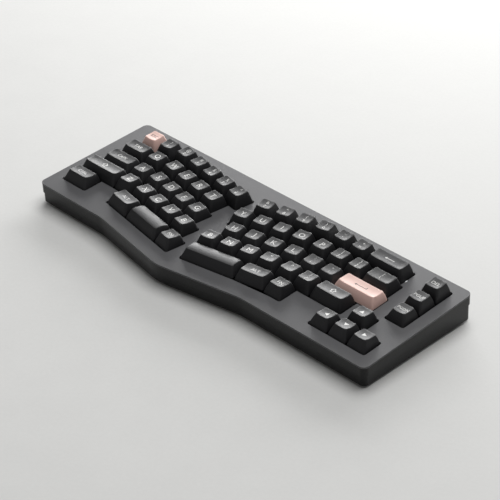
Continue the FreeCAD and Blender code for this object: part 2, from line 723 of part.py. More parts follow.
def usb_c_socket():
    """The socket's metal shell with its mouth to the back, and the tongue inside it."""
    width, depth, height = USB_SIZE
    x = -CASE_WIDTH / 2 + USB_PLACE
    mouth = CASE_DEPTH / 2 - LOWER_INSET - USB_CLEARANCE
    z = BOARD_TOP + height / 2

    def stadium(shrink, length, back):
        half_w, half_h = width / 2 - shrink, height / 2 - shrink
        corners = [(-half_w, -half_h, half_h), (half_w, -half_h, half_h),
                   (half_w, half_h, half_h), (-half_w, half_h, half_h)]
        bar = Part.Face(rounded_wire(corners)).extrude(Vector(0, 0, length))
        bar.rotate(Vector(0, 0, 0), Vector(1, 0, 0), 90)
        bar.translate(Vector(x, back, z))
        return bar

    shell = stadium(0, depth, mouth).cut(stadium(USB_SHELL, depth - USB_BACK, mouth))
    tongue_width, tongue_length, tongue_height = USB_TONGUE
    tongue = Part.makeBox(tongue_width, tongue_length, tongue_height,
                          Vector(x - tongue_width / 2, mouth - depth + USB_BACK, z - tongue_height / 2))
    return shell.fuse(tongue).removeSplitter()


def controller_chip():
    """The controller under the circuit board."""
    width, depth, height = CHIP_SIZE
    x, y = -CASE_WIDTH / 2 + CHIP_PLACE[0], CASE_DEPTH / 2 - CHIP_PLACE[1]
    return box(width, depth, BOARD_BOTTOM - height, BOARD_BOTTOM, x, y)


def lens_shape():
    """The indicator's lens: a small oval that reaches through the cover and the band."""
    width, depth = LENS_SIZE
    x, y = -CASE_WIDTH / 2 + LENS_PLACE[0], CASE_DEPTH / 2 - LENS_PLACE[1]
    half_w, half_d = width / 2, depth / 2
    corners = [(x - half_w, y - half_d, half_w), (x + half_w, y - half_d, half_w),
               (x + half_w, y + half_d, half_w), (x - half_w, y + half_d, half_w)]
    low = PLATE_TOP + GASKET_HEIGHT
    return Part.Face(rounded_wire(corners, low)).extrude(Vector(0, 0, -low))


def write(node, shapes):
    """Stands a node's solids on the desk and writes them to its file."""
    solids = []
    for shape in shapes:
        for solid in shape.Solids:
            standing = solid.copy()
            standing.Placement = stand().multiply(standing.Placement)
            solids.append(standing)
    whole = solids[0] if len(solids) == 1 else Part.makeCompound(solids)
    whole.exportStep("parts/" + node + ".step")
    print(node, len(solids), "solids, volume", round(sum(s.Volume for s in solids), 2))


def main():
    os.makedirs("parts", exist_ok=True)
    keys = key_list()
    nodes = {}
    for key in keys:
        nodes.setdefault(key_node(key["name"]), []).extend(key_solids(key))
    wide = [key for key in keys if len(stem_places(key)) > 1]
    nodes["top_cover"] = [top_cover(keys)]
    nodes["upper_frame"] = [upper_frame(keys)]
    nodes["lower_case"] = [lower_case()]
    nodes["switch_plate"] = [switch_plate(keys)]
    nodes["plate_foam"] = [plate_foam(keys)]
    nodes["circuit_board"] = [circuit_board(keys)]
    nodes["case_foam"] = [case_foam()]
    nodes["switch_housings"] = [switch_housing(key) for key in keys]
    nodes["switch_springs"] = [switch_spring(key) for key in keys]
    nodes["hot_swap_sockets"] = [hot_swap_socket(key) for key in keys]
    nodes["stabiliser_housings"] = [stabiliser_housing(key, x) for key in wide for x in stem_places(key)[1:]]
    nodes["stabiliser_wires"] = [stabiliser_wire(key) for key in wide]
    nodes["gasket_strips"] = gasket_strips()
    nodes["case_screws"] = [case_screw(x, y) for x, y in screw_places()]
    nodes["rubber_feet"] = [standing_cylinder(FOOT_RADIUS, 0, FOOT_HEIGHT + FOOT_RECESS, x, y)
                            for x, y in foot_places()]
    nodes["usb_c_socket"] = [usb_c_socket()]
    nodes["controller_chip"] = [controller_chip()]
    nodes["indicator_lens"] = [lens_shape()]
    for node, shapes in nodes.items():
        write(node, shapes)


main()
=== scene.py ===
import math

import bmesh
import bpy
from mathutils import Matrix, Vector


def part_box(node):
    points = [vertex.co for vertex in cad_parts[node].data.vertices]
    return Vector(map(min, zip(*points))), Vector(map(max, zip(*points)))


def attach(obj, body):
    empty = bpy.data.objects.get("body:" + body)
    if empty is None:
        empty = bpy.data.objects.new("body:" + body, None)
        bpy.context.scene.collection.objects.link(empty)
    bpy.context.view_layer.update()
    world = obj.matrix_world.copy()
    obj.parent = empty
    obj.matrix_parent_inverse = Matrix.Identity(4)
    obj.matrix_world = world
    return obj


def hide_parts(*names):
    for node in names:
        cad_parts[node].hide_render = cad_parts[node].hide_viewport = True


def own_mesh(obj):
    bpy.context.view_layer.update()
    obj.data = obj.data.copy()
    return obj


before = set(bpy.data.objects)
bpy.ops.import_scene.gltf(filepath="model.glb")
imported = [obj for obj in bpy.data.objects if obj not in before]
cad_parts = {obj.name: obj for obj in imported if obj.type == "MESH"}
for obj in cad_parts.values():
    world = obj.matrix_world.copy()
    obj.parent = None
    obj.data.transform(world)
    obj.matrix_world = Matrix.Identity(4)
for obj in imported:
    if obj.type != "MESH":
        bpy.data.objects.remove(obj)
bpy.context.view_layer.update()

# Camera
# It stands where the photograph was taken from: 46 degrees to the right of the keyboard's front and 34
# degrees up, with a long lens and a slight lean. Sizes below are in millimetres, as in the CAD part.
MM = 0.001
CAMERA_PLACE = (872.9, -841.48, 826.8)
CAMERA_AIM = (15.53, -3.72, 20.0)
CAMERA_ROLL = math.radians(-0.8)
LENS_LENGTH = 131.74
SENSOR_WIDTH = 36.0

bpy.ops.object.camera_add(location=Vector(CAMERA_PLACE) * MM)
camera = bpy.context.object
towards = Vector(CAMERA_AIM) - Vector(CAMERA_PLACE)
camera_turn = towards.to_track_quat("-Z", "Y").to_matrix() @ Matrix.Rotation(CAMERA_ROLL, 3, "Z")
camera.rotation_euler = camera_turn.to_euler()
camera.data.lens = LENS_LENGTH
camera.data.sensor_width = SENSOR_WIDTH
bpy.context.scene.camera = camera


# Cover
# One flat sheet of aluminium, cut out for the keys with a fine break on every edge, bead blasted and
# anodised dark grey. It is glued to the band below. The deck is its top side, which leans forwards.
TYPING_ANGLE = math.radians(2.5)
CASE_WIDTH, CASE_DEPTH = 367.0, 122.0
COVER_THICKNESS = 1.5
COVER_EDGE = 0.3
WELD_DISTANCE = 0.002
FLAT_ANGLE = math.radians(0.5)
SHARP_ANGLE = math.radians(40)
SMOOTH_ANGLE = math.radians(32)

cover_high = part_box("top_cover")[1]
deck_y = (cover_high.y / MM - CASE_DEPTH / 2 * math.cos(TYPING_ANGLE)
          - COVER_THICKNESS * math.sin(TYPING_ANGLE))
deck_z = cover_high.z / MM - CASE_DEPTH / 2 * math.sin(TYPING_ANGLE)
desk = Matrix.Scale(MM, 4)
deck = desk @ Matrix.Translation((0, deck_y, deck_z)) @ Matrix.Rotation(TYPING_ANGLE, 4, "X")


def linear(colour):
    """A hex colour as the linear values that the shaders take."""
    parts = [int(colour[i:i + 2], 16) / 255 for i in (1, 3, 5)]
    return [p / 12.92 if p <= 0.04045 else ((p + 0.055) / 1.055) ** 2.4 for p in parts] + [1.0]


def add(tree, kind, settings, links):
    """Adds a shader node with its settings, and sets or links its inputs."""
    node = tree.nodes.new(kind)
    for name, value in settings.items():
        setattr(node, name, value)
    for name, value in links.items():
        if isinstance(value, bpy.types.NodeSocket):
            tree.links.new(value, node.inputs[name])
        else:
            node.inputs[name].default_value = value
    return node


def finish(name, colours, roughness, grain, depth, stretch=(1, 1, 1), **shader):
    """A material whose colour, roughness and surface vary with a grain of a real size."""
    span = {"From Min": GRAIN_SPAN[0], "From Max": GRAIN_SPAN[1]}
    made = bpy.data.materials.new(name)
    made.use_nodes = True
    tree = made.node_tree
    tree.nodes.clear()
    place = add(tree, "ShaderNodeTexCoord", {}, {}).outputs["Object"]
    place = add(tree, "ShaderNodeMapping", {}, {"Vector": place, "Scale": stretch}).outputs["Vector"]
    fine = add(tree, "ShaderNodeTexNoise", {},
               {"Vector": place, "Scale": 1 / (grain * MM), "Detail": GRAIN_DETAIL})
    cloud = add(tree, "ShaderNodeTexNoise", {},
                {"Vector": place, "Scale": 1 / (CLOUD * MM), "Detail": CLOUD_DETAIL})
    both = add(tree, "ShaderNodeMath", {"operation": "ADD"},
               {0: fine.outputs["Fac"], 1: cloud.outputs["Fac"]})
    level = add(tree, "ShaderNodeMapRange", {}, {"Value": both.outputs["Value"], **span})
    # The mix node's colours go in at 6 and 7 and come out at 2
    colour = add(tree, "ShaderNodeMix", {"data_type": "RGBA"},
                 {0: level.outputs["Result"], 6: linear(colours[0]), 7: linear(colours[1])})
    rough = add(tree, "ShaderNodeMapRange", {}, {"Value": both.outputs["Value"], **span,
                                                 "To Min": roughness[0], "To Max": roughness[1]})
    bump = add(tree, "ShaderNodeBump", {}, {"Height": fine.outputs["Fac"], "Distance": depth * MM})
    links = {"Base Color": colour.outputs[2], "Roughness": rough.outputs["Result"],
             "Normal": bump.outputs["Normal"], **shader}
    surface = add(tree, "ShaderNodeBsdfPrincipled", {}, links)
    add(tree, "ShaderNodeOutputMaterial", {}, {"Surface": surface.outputs["BSDF"]})
    return made


def alone(piece):
    """Makes one object the selected and active one."""
    bpy.ops.object.select_all(action="DESELECT")
    piece.select_set(True)
    bpy.context.view_layer.objects.active = piece


def edit(piece):
    """Opens one object in edit mode with its whole mesh selected."""
    alone(piece)
    bpy.ops.object.mode_set(mode="EDIT")
    bpy.ops.mesh.select_all(action="SELECT")


def copy_of(node, name, space):
    """A welded copy of a CAD node's mesh as a new object, in the millimetres of a space."""
    piece = bpy.data.objects.new(name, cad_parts[node].data.copy())
    piece.data.materials.clear()
    piece.data.transform(space.inverted())
    bpy.context.collection.objects.link(piece)
    edit(piece)
    bpy.ops.mesh.customdata_custom_splitnormals_clear()
    bpy.ops.mesh.remove_doubles(threshold=WELD_DISTANCE)
    bpy.ops.object.mode_set(mode="OBJECT")
    return piece


def modify(piece, kind, **settings):
    """Adds a modifier to a piece and applies it."""
    alone(piece)
    modifier = piece.modifiers.new(kind, kind)
    for name, value in settings.items():
        setattr(modifier, name, value)
    bpy.ops.object.modifier_apply(modifier=modifier.name)


def break_edges(piece, edge):
    """Makes a copied solid's flat faces whole again and breaks its sharp edges."""
    edit(piece)
    bpy.ops.mesh.dissolve_limited(angle_limit=FLAT_ANGLE)
    bpy.ops.object.mode_set(mode="OBJECT")
    modify(piece, "BEVEL", width=edge, segments=2, limit_method="ANGLE", angle_limit=SHARP_ANGLE)


def dress(piece, space, material, body, node=None):
    """Puts a finished piece in its space, gives it its material and body, and hides its CAD node."""
    piece.data.transform(space)
    alone(piece)
    bpy.ops.object.shade_smooth_by_angle(angle=SMOOTH_ANGLE)
    piece.data.materials.clear()
    piece.data.materials.append(material)
    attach(piece, body)
    if node:
        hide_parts(node)


# Blasting leaves a fine even grit that spreads highlights. It is drawn at 0.4 mm, coarser than real,
# so that a close view shows it. Every finish adds a slow cloud to its grain, and GRAIN_SPAN is the part of
# their sum that runs from the first colour to the second.
CLOUD, CLOUD_DETAIL = 35.0, 2.0
GRAIN_DETAIL, GRAIN_SPAN = 4.0, (0.7, 1.3)
anodised = finish("anodised_aluminium", ("#4A4A4C", "#535355"), (0.44, 0.52), grain=0.4, depth=0.01)
cover = copy_of("top_cover", "cover_sheet", deck)
break_edges(cover, COVER_EDGE)
dress(cover, deck, anodised, "case", "top_cover")
# Its flat faces keep their own normals, so that they mirror a lamp as a flat sheet does
modify(cover, "WEIGHTED_NORMAL", keep_sharp=True)


# Case
# An upper band and a lower tray of smoked acrylic, milled, flame polished and screwed together from
# below. It looks black and mirrors the floor, and a faint smear in its polish softens what it mirrors.
CASE_EDGE = 0.5
SMEAR, SMEAR_DETAIL, SMEAR_ROUGHNESS = 14.0, 3.0, (0.02, 0.1)

smoked = bpy.data.materials.new("smoked_acrylic")
smoked.use_nodes = True
tree = smoked.node_tree
tree.nodes.clear()
place = add(tree, "ShaderNodeTexCoord", {}, {}).outputs["Object"]
smear = add(tree, "ShaderNodeTexNoise", {},
            {"Vector": place, "Scale": 1 / (SMEAR * MM), "Detail": SMEAR_DETAIL})
rough = add(tree, "ShaderNodeMapRange", {},
            {"Value": smear.outputs["Fac"], "To Min": SMEAR_ROUGHNESS[0], "To Max": SMEAR_ROUGHNESS[1]})
surface = add(tree, "ShaderNodeBsdfPrincipled", {},
              {"Base Color": linear("#0C0C0D"), "Roughness": rough.outputs["Result"], "IOR": 1.49,
               "Specular IOR Level": 0.2, "Transmission Weight": 0.4})
add(tree, "ShaderNodeOutputMaterial", {}, {"Surface": surface.outputs["BSDF"]})

for node, name in (("upper_frame", "case_band"), ("lower_case", "case_tray")):
    shell = copy_of(node, name, deck)
    break_edges(shell, CASE_EDGE)
    dress(shell, deck, smoked, "case", node)
    modify(shell, "WEIGHTED_NORMAL", keep_sharp=True)


# Case screws
# Eight stainless socket screws that come up through the tray into the band. Their bright heads lie sunk in
# the tray's underside, close to its edge.
SCREW_HEAD_RADIUS, SCREW_HEAD_HEIGHT = 2.3, 1.6
SCREW_RADIUS, SCREW_CORE = 1.25, 1.05
SCREW_PITCH, SCREW_TURNS = 0.5, 12
SCREW_EDGE, SCREW_TIP = 0.3, 0.7
SOCKET_RADIUS, SOCKET_DEPTH = 1.45, 1.0
# How far a cutter runs past what it cuts, and how deep solids that are joined run into each other
PAST, OVERLAP = 1.0, 0.1


def select(kind, test):
    """In edit mode, selects the faces, edges or vertices that pass a test."""
    bpy.ops.mesh.select_mode(type=kind)
    bpy.ops.mesh.select_all(action="DESELECT")
    mesh = bmesh.from_edit_mesh(bpy.context.object.data)
    mesh.normal_update()
    for item in {"FACE": mesh.faces, "EDGE": mesh.edges, "VERT": mesh.verts}[kind]:
        if test(item):
            item.select_set(True)
    bmesh.update_edit_mesh(bpy.context.object.data)


def level_edge(height):
    """A test for the edges that lie at a height."""
    return lambda edge: all(abs(vert.co.z - height) < WELD_DISTANCE for vert in edge.verts)


def rod(radius, low, high, x=0, y=0, sides=24):
    """An upright round bar as a new object."""
    bpy.ops.object.select_all(action="DESELECT")
    bpy.ops.mesh.primitive_cylinder_add(vertices=sides, radius=radius, depth=high - low,
                                        location=(x, y, (low + high) / 2))
    bpy.ops.object.transform_apply(location=True, rotation=False, scale=False)
    return bpy.context.object


def block(low, high):
    """A box between two corners as a new object."""
    size = [b - a for a, b in zip(low, high)]
    middle = [(a + b) / 2 for a, b in zip(low, high)]
    bpy.ops.object.select_all(action="DESELECT")
    bpy.ops.mesh.primitive_cube_add(size=1, location=middle, scale=size)
    bpy.ops.object.transform_apply(location=True, rotation=False, scale=True)
    return bpy.context.object


def cut(piece, cutter, operation="DIFFERENCE"):
    """Cuts another object out of a piece, or joins it on, and deletes it."""
    modify(piece, "BOOLEAN", operation=operation, solver="EXACT", object=cutter)
    bpy.data.objects.remove(cutter)


def bevel(piece, test, width, segments):
    """Bevels the edges of a piece that pass a test."""
    edit(piece)
    select("EDGE", test)
    bpy.ops.mesh.bevel(offset=width, segments=segments, affect="EDGES", clamp_overlap=True)
    bpy.ops.object.mode_set(mode="OBJECT")


def gather(pieces, name):
    """Joins objects into one named piece."""
    alone(pieces[0])
    for piece in pieces[1:]:
        piece.select_set(True)
    bpy.ops.object.join()
    pieces[0].name = name
    return pieces[0]


def copies(pattern, places, name):
    """One piece made of a pattern's copies at many places. The pattern is deleted."""
    made = []
    for place in places:
        piece = bpy.data.objects.new(name, pattern.data.copy())
        bpy.context.collection.objects.link(piece)
        piece.data.transform(place)
        made.append(piece)
    bpy.data.objects.remove(pattern)
    return gather(made, name)


def loose_boxes(node, space):
    """The lowest and highest corners of each loose part of a CAD node."""
    edit(copy_of(node, "loose_part", space))
    bpy.ops.mesh.separate(type="LOOSE")
    bpy.ops.object.mode_set(mode="OBJECT")
    parts = list(bpy.context.selected_objects)
    boxes = []
    for part in parts:
        points = [vert.co for vert in part.data.vertices]
        boxes.append([Vector([pick(point[i] for point in points) for i in range(3)])
                      for pick in (min, max)])
        bpy.data.objects.remove(part)
    return boxes


def case_screw(length):
    """A socket screw with its head's seat at the origin and its tip up."""
    head = rod(SCREW_HEAD_RADIUS, -SCREW_HEAD_HEIGHT, 0, sides=32)
    bevel(head, level_edge(-SCREW_HEAD_HEIGHT), SCREW_EDGE, segments=3)
    cut(head, rod(SOCKET_RADIUS, -SCREW_HEAD_HEIGHT - PAST, SOCKET_DEPTH - SCREW_HEAD_HEIGHT, sides=6))
    bpy.ops.object.select_all(action="DESELECT")
    bpy.ops.mesh.primitive_circle_add(vertices=16, radius=SCREW_RADIUS, location=(0, 0, 0))
    shank = bpy.context.object
    edit(shank)
    rise = length - SCREW_TURNS * SCREW_PITCH - SCREW_EDGE
    bpy.ops.mesh.extrude_region_move(TRANSFORM_OT_translate={"value": (0, 0, rise)})
    for i in range(2 * SCREW_TURNS):
        bpy.ops.mesh.extrude_region_move(TRANSFORM_OT_translate={"value": (0, 0, SCREW_PITCH / 2)})
        share = SCREW_RADIUS / SCREW_CORE if i % 2 else SCREW_CORE / SCREW_RADIUS
        bpy.ops.transform.resize(value=(share, share, 1))
    bpy.ops.mesh.extrude_region_move(TRANSFORM_OT_translate={"value": (0, 0, SCREW_EDGE)})
    bpy.ops.transform.resize(value=(SCREW_TIP, SCREW_TIP, 1))
    bpy.ops.mesh.edge_face_add()
    bpy.ops.object.mode_set(mode="OBJECT")
    return gather([head, shank], "case_screw")


# Turned stainless steel is even and bright, with a very fine grain.
stainless = finish("turned_stainless_steel", ("#A9A9AB", "#BDBDBF"), (0.22, 0.34), grain=0.3, depth=0.004,
                   Metallic=1.0)
screws = []
for low, high in loose_boxes("case_screws", deck):
    made = case_screw(high.z - low.z - SCREW_HEAD_HEIGHT)
    made.data.transform(Matrix.Translation(((low.x + high.x) / 2, (low.y + high.y) / 2,
                                            low.z + SCREW_HEAD_HEIGHT)))
    screws.append(made)
dress(gather(screws, "case_screws_steel"), deck, stainless, "case", "case_screws")


# Feet
# Six round bumpers of soft silicone rubber, glued into shallow recesses of the tray's underside, with a
# rounded rim and a ring groove.
FOOT_RADIUS, FOOT_EDGE = 6.0, 0.7
GROOVE_OUTER, GROOVE_INNER, GROOVE_DEPTH = 4.4, 3.6, 0.4

# Silicone is dull and dark, and its grain hardly shows.
rubber = finish("black_silicone_rubber", ("#161617", "#1E1E1F"), (0.6, 0.75), grain=0.5, depth=0.02)
foot = rod(FOOT_RADIUS, 0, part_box("rubber_feet")[1].z / MM, sides=48)
bevel(foot, level_edge(0), FOOT_EDGE, segments=4)
cut(foot, rod(GROOVE_OUTER, -PAST, GROOVE_DEPTH, sides=48))
cut(foot, rod(GROOVE_INNER, 0, GROOVE_DEPTH + WELD_DISTANCE, sides=48), "UNION")
places = [Matrix.Translation(((low.x + high.x) / 2, (low.y + high.y) / 2, 0))
          for low, high in loose_boxes("rubber_feet", desk)]
dress(copies(foot, places, "bumper_feet"), desk, rubber, "case", "rubber_feet")


# Plate, foams and gaskets
# The switches clip into a blackened steel plate that hangs between soft strips. Open-cell foam lies
# under the plate and on the tray's floor.
SHEET_EDGE = 0.15

# The steel was brushed along the keyboard before it was blackened. The foam is matt and full of pores.
blackened = finish("blackened_steel", ("#2A2B2D", "#38393B"), (0.34, 0.46), grain=0.6, depth=0.006,
                   stretch=(0.05, 1, 1), Metallic=1.0)
foam = finish("open_cell_foam", ("#1C1C1D", "#2A2A2B"), (0.85, 0.95), grain=0.7, depth=0.12)
plate = copy_of("switch_plate", "steel_plate", deck)
break_edges(plate, SHEET_EDGE)
dress(plate, deck, blackened, "case", "switch_plate")
for node, name, material, slot in (("plate_foam", "foam_under_plate", foam, "foam"),
                                   ("case_foam", "foam_on_floor", foam, "foam"),
                                   ("gasket_strips", "soft_gaskets", rubber, "rubber")):
    sheet = copy_of(node, name, deck)
    break_edges(sheet, SHEET_EDGE)
    dress(sheet, deck, material, "case", node)


# Keys
# Where every key sits: straight and turned blocks of rows, each row a start and its keys' widths in key
# units. Most keys are a body of their own, and the rest share one with keys of their kind.
UNIT = 19.05
ROW_ONE = 19.9
TURN = math.radians(9.6)
BLOCKS = {
    "left": (31.6, ROW_ONE, 0.0),
    "left_turned": (70.45, 18.7, -TURN),
    "right_turned": (176.1, 29.7, TURN),
    "right": (242.9, ROW_ONE, 0.0),
    "right_fn": (246.3, ROW_ONE, 0.0),
    "navigation": (337.1, ROW_ONE, 0.0),
}
ARROW_DROP = 0.25
ROWS = (
    ("left", 0, -0.5, (("escape", 1), ("1", 1))),
    ("left", 1, -0.75, (("tab", 1.5), ("q", 1))),
    ("left", 2, -0.875, (("caps_lock", 1.75), ("a", 1))),
    ("left", 3, -1.125, (("left_shift", 2.25), ("z", 1))),
    ("left", 4, -1.125, (("left_control", 1.5),)),
    ("left_turned", 0, -0.5, (("2", 1), ("3", 1), ("4", 1), ("5", 1), ("6", 1))),
    ("left_turned", 1, 0.0, (("w", 1), ("e", 1), ("r", 1), ("t", 1))),
    ("left_turned", 2, 0.23, (("s", 1), ("d", 1), ("f", 1), ("g", 1))),
    ("left_turned", 3, 0.73, (("x", 1), ("c", 1), ("v", 1), ("b", 1))),
    ("left_turned", 4, 0.44, (("left_alt", 1.5), ("left_space", 2.25), ("left_fn", 1))),
    ("right_turned", 0, -0.5, (("7", 1), ("8", 1), ("9", 1), ("0", 1))),
    ("right_turned", 1, -1.0, (("y", 1), ("u", 1), ("i", 1), ("o", 1))),
    ("right_turned", 2, -0.75, (("h", 1), ("j", 1), ("k", 1), ("l", 1))),
    ("right_turned", 3, -1.25, (("b_right", 1), ("n", 1), ("m", 1), ("comma", 1))),
    ("right_turned", 4, -1.25, (("right_space", 2.75), ("right_alt", 1.5))),
    ("right", 0, 0.0, (("minus", 1), ("equals", 1), ("backspace", 2))),
    ("right", 1, -0.3, (("p", 1), ("open_bracket", 1), ("close_bracket", 1), ("backslash", 1.5))),
    ("right", 2, 0.08, (("semicolon", 1), ("quote", 1), ("enter", 2.25))),
    ("right", 3, -0.22, (("full_stop", 1), ("slash", 1), ("right_shift", 1.75))),
    ("right_fn", 4, 0.0, (("right_fn", 1),)),
    ("navigation", 0, 0.0, (("delete", 1),)),
    ("navigation", 1, 0.0, (("page_up", 1),)),
    ("navigation", 2, 0.0, (("page_down", 1),)),
    ("navigation", 3 + ARROW_DROP, -1.0, (("up", 1),)),
    ("navigation", 4 + ARROW_DROP, -2.0, (("left", 1), ("down", 1), ("right", 1))),
)
GROUPS = {
    "digit_keys": ("1", "2", "3", "4", "5", "6", "7", "8", "9", "0"),
    "symbol_keys": ("minus", "equals", "open_bracket", "close_bracket", "backslash", "semicolon",
                    "quote", "comma", "full_stop", "slash"),
    "arrow_keys": ("up", "left", "down", "right"),
    "navigation_keys": ("delete", "page_up", "page_down"),
    "modifier_keys": ("left_alt", "left_fn", "right_alt", "right_fn"),
}
STABILISED_WIDTH, STABILISER_REACH = 2.0, 11.94


def key_node(name):
    """The CAD node that holds a key, which is also the name of its body."""
    for group, names in GROUPS.items():
        if name in names:
            return group
    return "key_" + name


keys = []
for block_name, row, start, names in ROWS:
    across, down, turn = BLOCKS[block_name]
    corner = Matrix.Translation((across - CASE_WIDTH / 2, CASE_DEPTH / 2 - down, 0))
    along = start
    for name, width in names:
        step = Matrix.Translation(((along + width / 2) * UNIT, -row * UNIT, 0))
        keys.append({"name": name, "width": width, "row": int(row), "node": key_node(name),
                     "place": corner @ Matrix.Rotation(turn, 4, "Z") @ step})
        along += width


# Switches
# Each switch is a black nylon housing of two halves, clipped into the plate, with a peg through the
# board, a stem of dark acetal with a cross on top, and a steel spring under it.
PLATE_TOP = -6.9
HOUSING_HALF, FLANGE_HALF, HEAD_HALF = 7.0, 7.8, 4.8
FLANGE_THICKNESS, HOUSING_RISE, HOUSING_DEPTH, HOUSING_FLOOR = 1.0, 6.5, 5.0, 1.0
SHOULDER, BOARD_TOP = PLATE_TOP + HOUSING_RISE, PLATE_TOP - HOUSING_DEPTH
WELL = (7.0, 6.2)
PEG_RADIUS, PEG_LENGTH, PEG_EDGE = 2.0, 3.2, 0.4
HOUSING_EDGE, MOULD_EDGE = 0.8, 0.15
LAMP_SLOT = (5.0, 1.8, 4.0)
LATCH_WIDTH, LATCH_REACH, LATCH_DEPTHS = 3.6, 0.4, (1.6, 3.2)
STEM_HALF, STEM_BLOCK, STEM_EDGE = (3.2, 2.8), 5.0, 0.4
POLE_RADIUS, POLE_CLEARANCE = 1.4, 0.2
CROSS_LONG, CROSS_BAR, CROSS_HEIGHT = 4.0, 1.2, 3.6
GUIDED_HALF, GUIDED_BLOCK = (2.8, 2.3), 7.0
WIRE_HEIGHT, WIRE_ROOM, SLOT_DEPTH = 0.9, 1.05, 3.1
SPRING_RADIUS, SPRING_WIRE, SPRING_TURNS, SPRING_PLAY = 1.9, 0.22, 7, 0.05
SPRING_SIDES, SPRING_STEPS = 6, 12
TRAVEL = 3.6
# How much of its length a normal has upright, at least, on a face that looks up or down
FACING = 0.9


def standing(edge):
    """A test for the edges that rise from a lower face to a higher one."""
    low, high = sorted(vert.co.z for vert in edge.verts)
    return high - low > WELD_DISTANCE


def faces_up(face):
    """A test for the faces that look up."""
    return face.normal.z > FACING


def faces_down(face):
    """A test for the faces that look down."""
    return face.normal.z < -FACING


def switch_housing():
    """A switch's housing round the middle of its top, in the deck's heights."""
    flange_top = PLATE_TOP + FLANGE_THICKNESS
    half = HOUSING_HALF
    lower = block((-half, -half, BOARD_TOP), (half, half, PLATE_TOP + OVERLAP))
    bevel(lower, level_edge(BOARD_TOP), HOUSING_EDGE, segments=2)
    for side in (-1, 1):
        latch = block((side * half - LATCH_REACH, -LATCH_WIDTH / 2, PLATE_TOP - LATCH_DEPTHS[1]),
                      (side * half + LATCH_REACH, LATCH_WIDTH / 2, PLATE_TOP - LATCH_DEPTHS[0]))
        cut(lower, latch, "UNION")
    flange = block((-FLANGE_HALF, -FLANGE_HALF, PLATE_TOP), (FLANGE_HALF, FLANGE_HALF, flange_top))
    bevel(flange, standing, HOUSING_EDGE, segments=3)
    bevel(flange, level_edge(flange_top), MOULD_EDGE, segments=1)
    upper = block((-half, -half, flange_top - OVERLAP), (half, half, SHOULDER))
    edit(upper)
    select("FACE", faces_up)
    bpy.ops.transform.resize(value=(HEAD_HALF / half, HEAD_HALF / half, 1))
    bpy.ops.object.mode_set(mode="OBJECT")
    bevel(upper, standing, HOUSING_EDGE, segments=3)
    bevel(upper, level_edge(SHOULDER), 2 * MOULD_EDGE, segments=2)
    peg = rod(PEG_RADIUS, BOARD_TOP - PEG_LENGTH, BOARD_TOP + OVERLAP, sides=20)
    bevel(peg, level_edge(BOARD_TOP - PEG_LENGTH), PEG_EDGE, segments=2)
    for part in (flange, upper, peg):
        cut(lower, part, "UNION")
    low = BOARD_TOP + HOUSING_FLOOR
    cut(lower, block((-WELL[0] / 2, -WELL[1] / 2, low), (WELL[0] / 2, WELL[1] / 2, SHOULDER + PAST)))
    pole_low = SHOULDER - 2 * STEM_BLOCK - TRAVEL - POLE_CLEARANCE
    cut(lower, rod(POLE_RADIUS + POLE_CLEARANCE, pole_low, low + OVERLAP, sides=16))
    width, depth, height = LAMP_SLOT
    back = half - HOUSING_EDGE
    cut(lower, block((-width / 2, back - depth, SHOULDER - height), (width / 2, back, SHOULDER + PAST)))
    return lower


# Glass-filled nylon is nearly black, with a fine dull texture from the mould.
nylon = finish("black_nylon", ("#151516", "#1D1D1E"), (0.38, 0.5), grain=0.5, depth=0.015)
key_places = [key["place"] for key in keys]
housings = copies(switch_housing(), key_places, "switch_housings_nylon")
dress(housings, deck, nylon, "case", "switch_housings")


def stem_cross(x):
    """The cross on a stem, which a keycap's post is pressed on to."""
    low, high = SHOULDER - OVERLAP, SHOULDER + CROSS_HEIGHT
    cross = block((x - CROSS_LONG / 2, -CROSS_BAR / 2, low), (x + CROSS_LONG / 2, CROSS_BAR / 2, high))
    other = block((x - CROSS_BAR / 2, -CROSS_LONG / 2, low), (x + CROSS_BAR / 2, CROSS_LONG / 2, high))
    cut(cross, other, "UNION")
    bevel(cross, level_edge(high), MOULD_EDGE, segments=1)
    return cross


def switch_stem():
    """A switch's sliding stem: block, cross and the pole inside the spring."""
    half_x, half_y = STEM_HALF
    low = SHOULDER - STEM_BLOCK
    stem = block((-half_x, -half_y, low), (half_x, half_y, SHOULDER))
    bevel(stem, standing, STEM_EDGE, segments=2)
    bevel(stem, level_edge(SHOULDER), MOULD_EDGE, segments=1)
    cut(stem, rod(POLE_RADIUS, low - STEM_BLOCK, low + OVERLAP, sides=16), "UNION")
    cut(stem, stem_cross(0), "UNION")
    return stem


def stabiliser_stem():
    """A stabiliser's sliding stem, slotted at the front for the end of the wire."""
    half_x, half_y = GUIDED_HALF
    stem = block((-half_x, -half_y, SHOULDER - GUIDED_BLOCK), (half_x, half_y, SHOULDER))
    bevel(stem, standing, STEM_EDGE, segments=2)
    bevel(stem, level_edge(SHOULDER), MOULD_EDGE, segments=1)
    wire_middle = PLATE_TOP + WIRE_HEIGHT
    cut(stem, block((-WIRE_ROOM, -half_y - PAST, wire_middle - WIRE_ROOM),
                    (WIRE_ROOM, -half_y + SLOT_DEPTH, wire_middle + WIRE_ROOM + TRAVEL)))
    cut(stem, stem_cross(0), "UNION")
    return stem


# Moulded acetal is smooth and a little waxy, here tinted dark like the caps.
acetal = finish("dark_acetal", ("#2B2B2C", "#333334"), (0.25, 0.35), grain=0.5, depth=0.004)
key_nodes = sorted({key["node"] for key in keys})
for node in key_nodes:
    held = [key for key in keys if key["node"] == node]
    stems = copies(switch_stem(), [key["place"] for key in held], "stems_" + node)
    sides = [key["place"] @ Matrix.Translation((side * STABILISER_REACH, 0, 0))
             for key in held if key["width"] >= STABILISED_WIDTH for side in (-1, 1)]
    if sides:
        stems = gather([stems, copies(stabiliser_stem(), sides, "guided_stems")], "stems_" + node)
    dress(stems, deck, acetal, node, node)

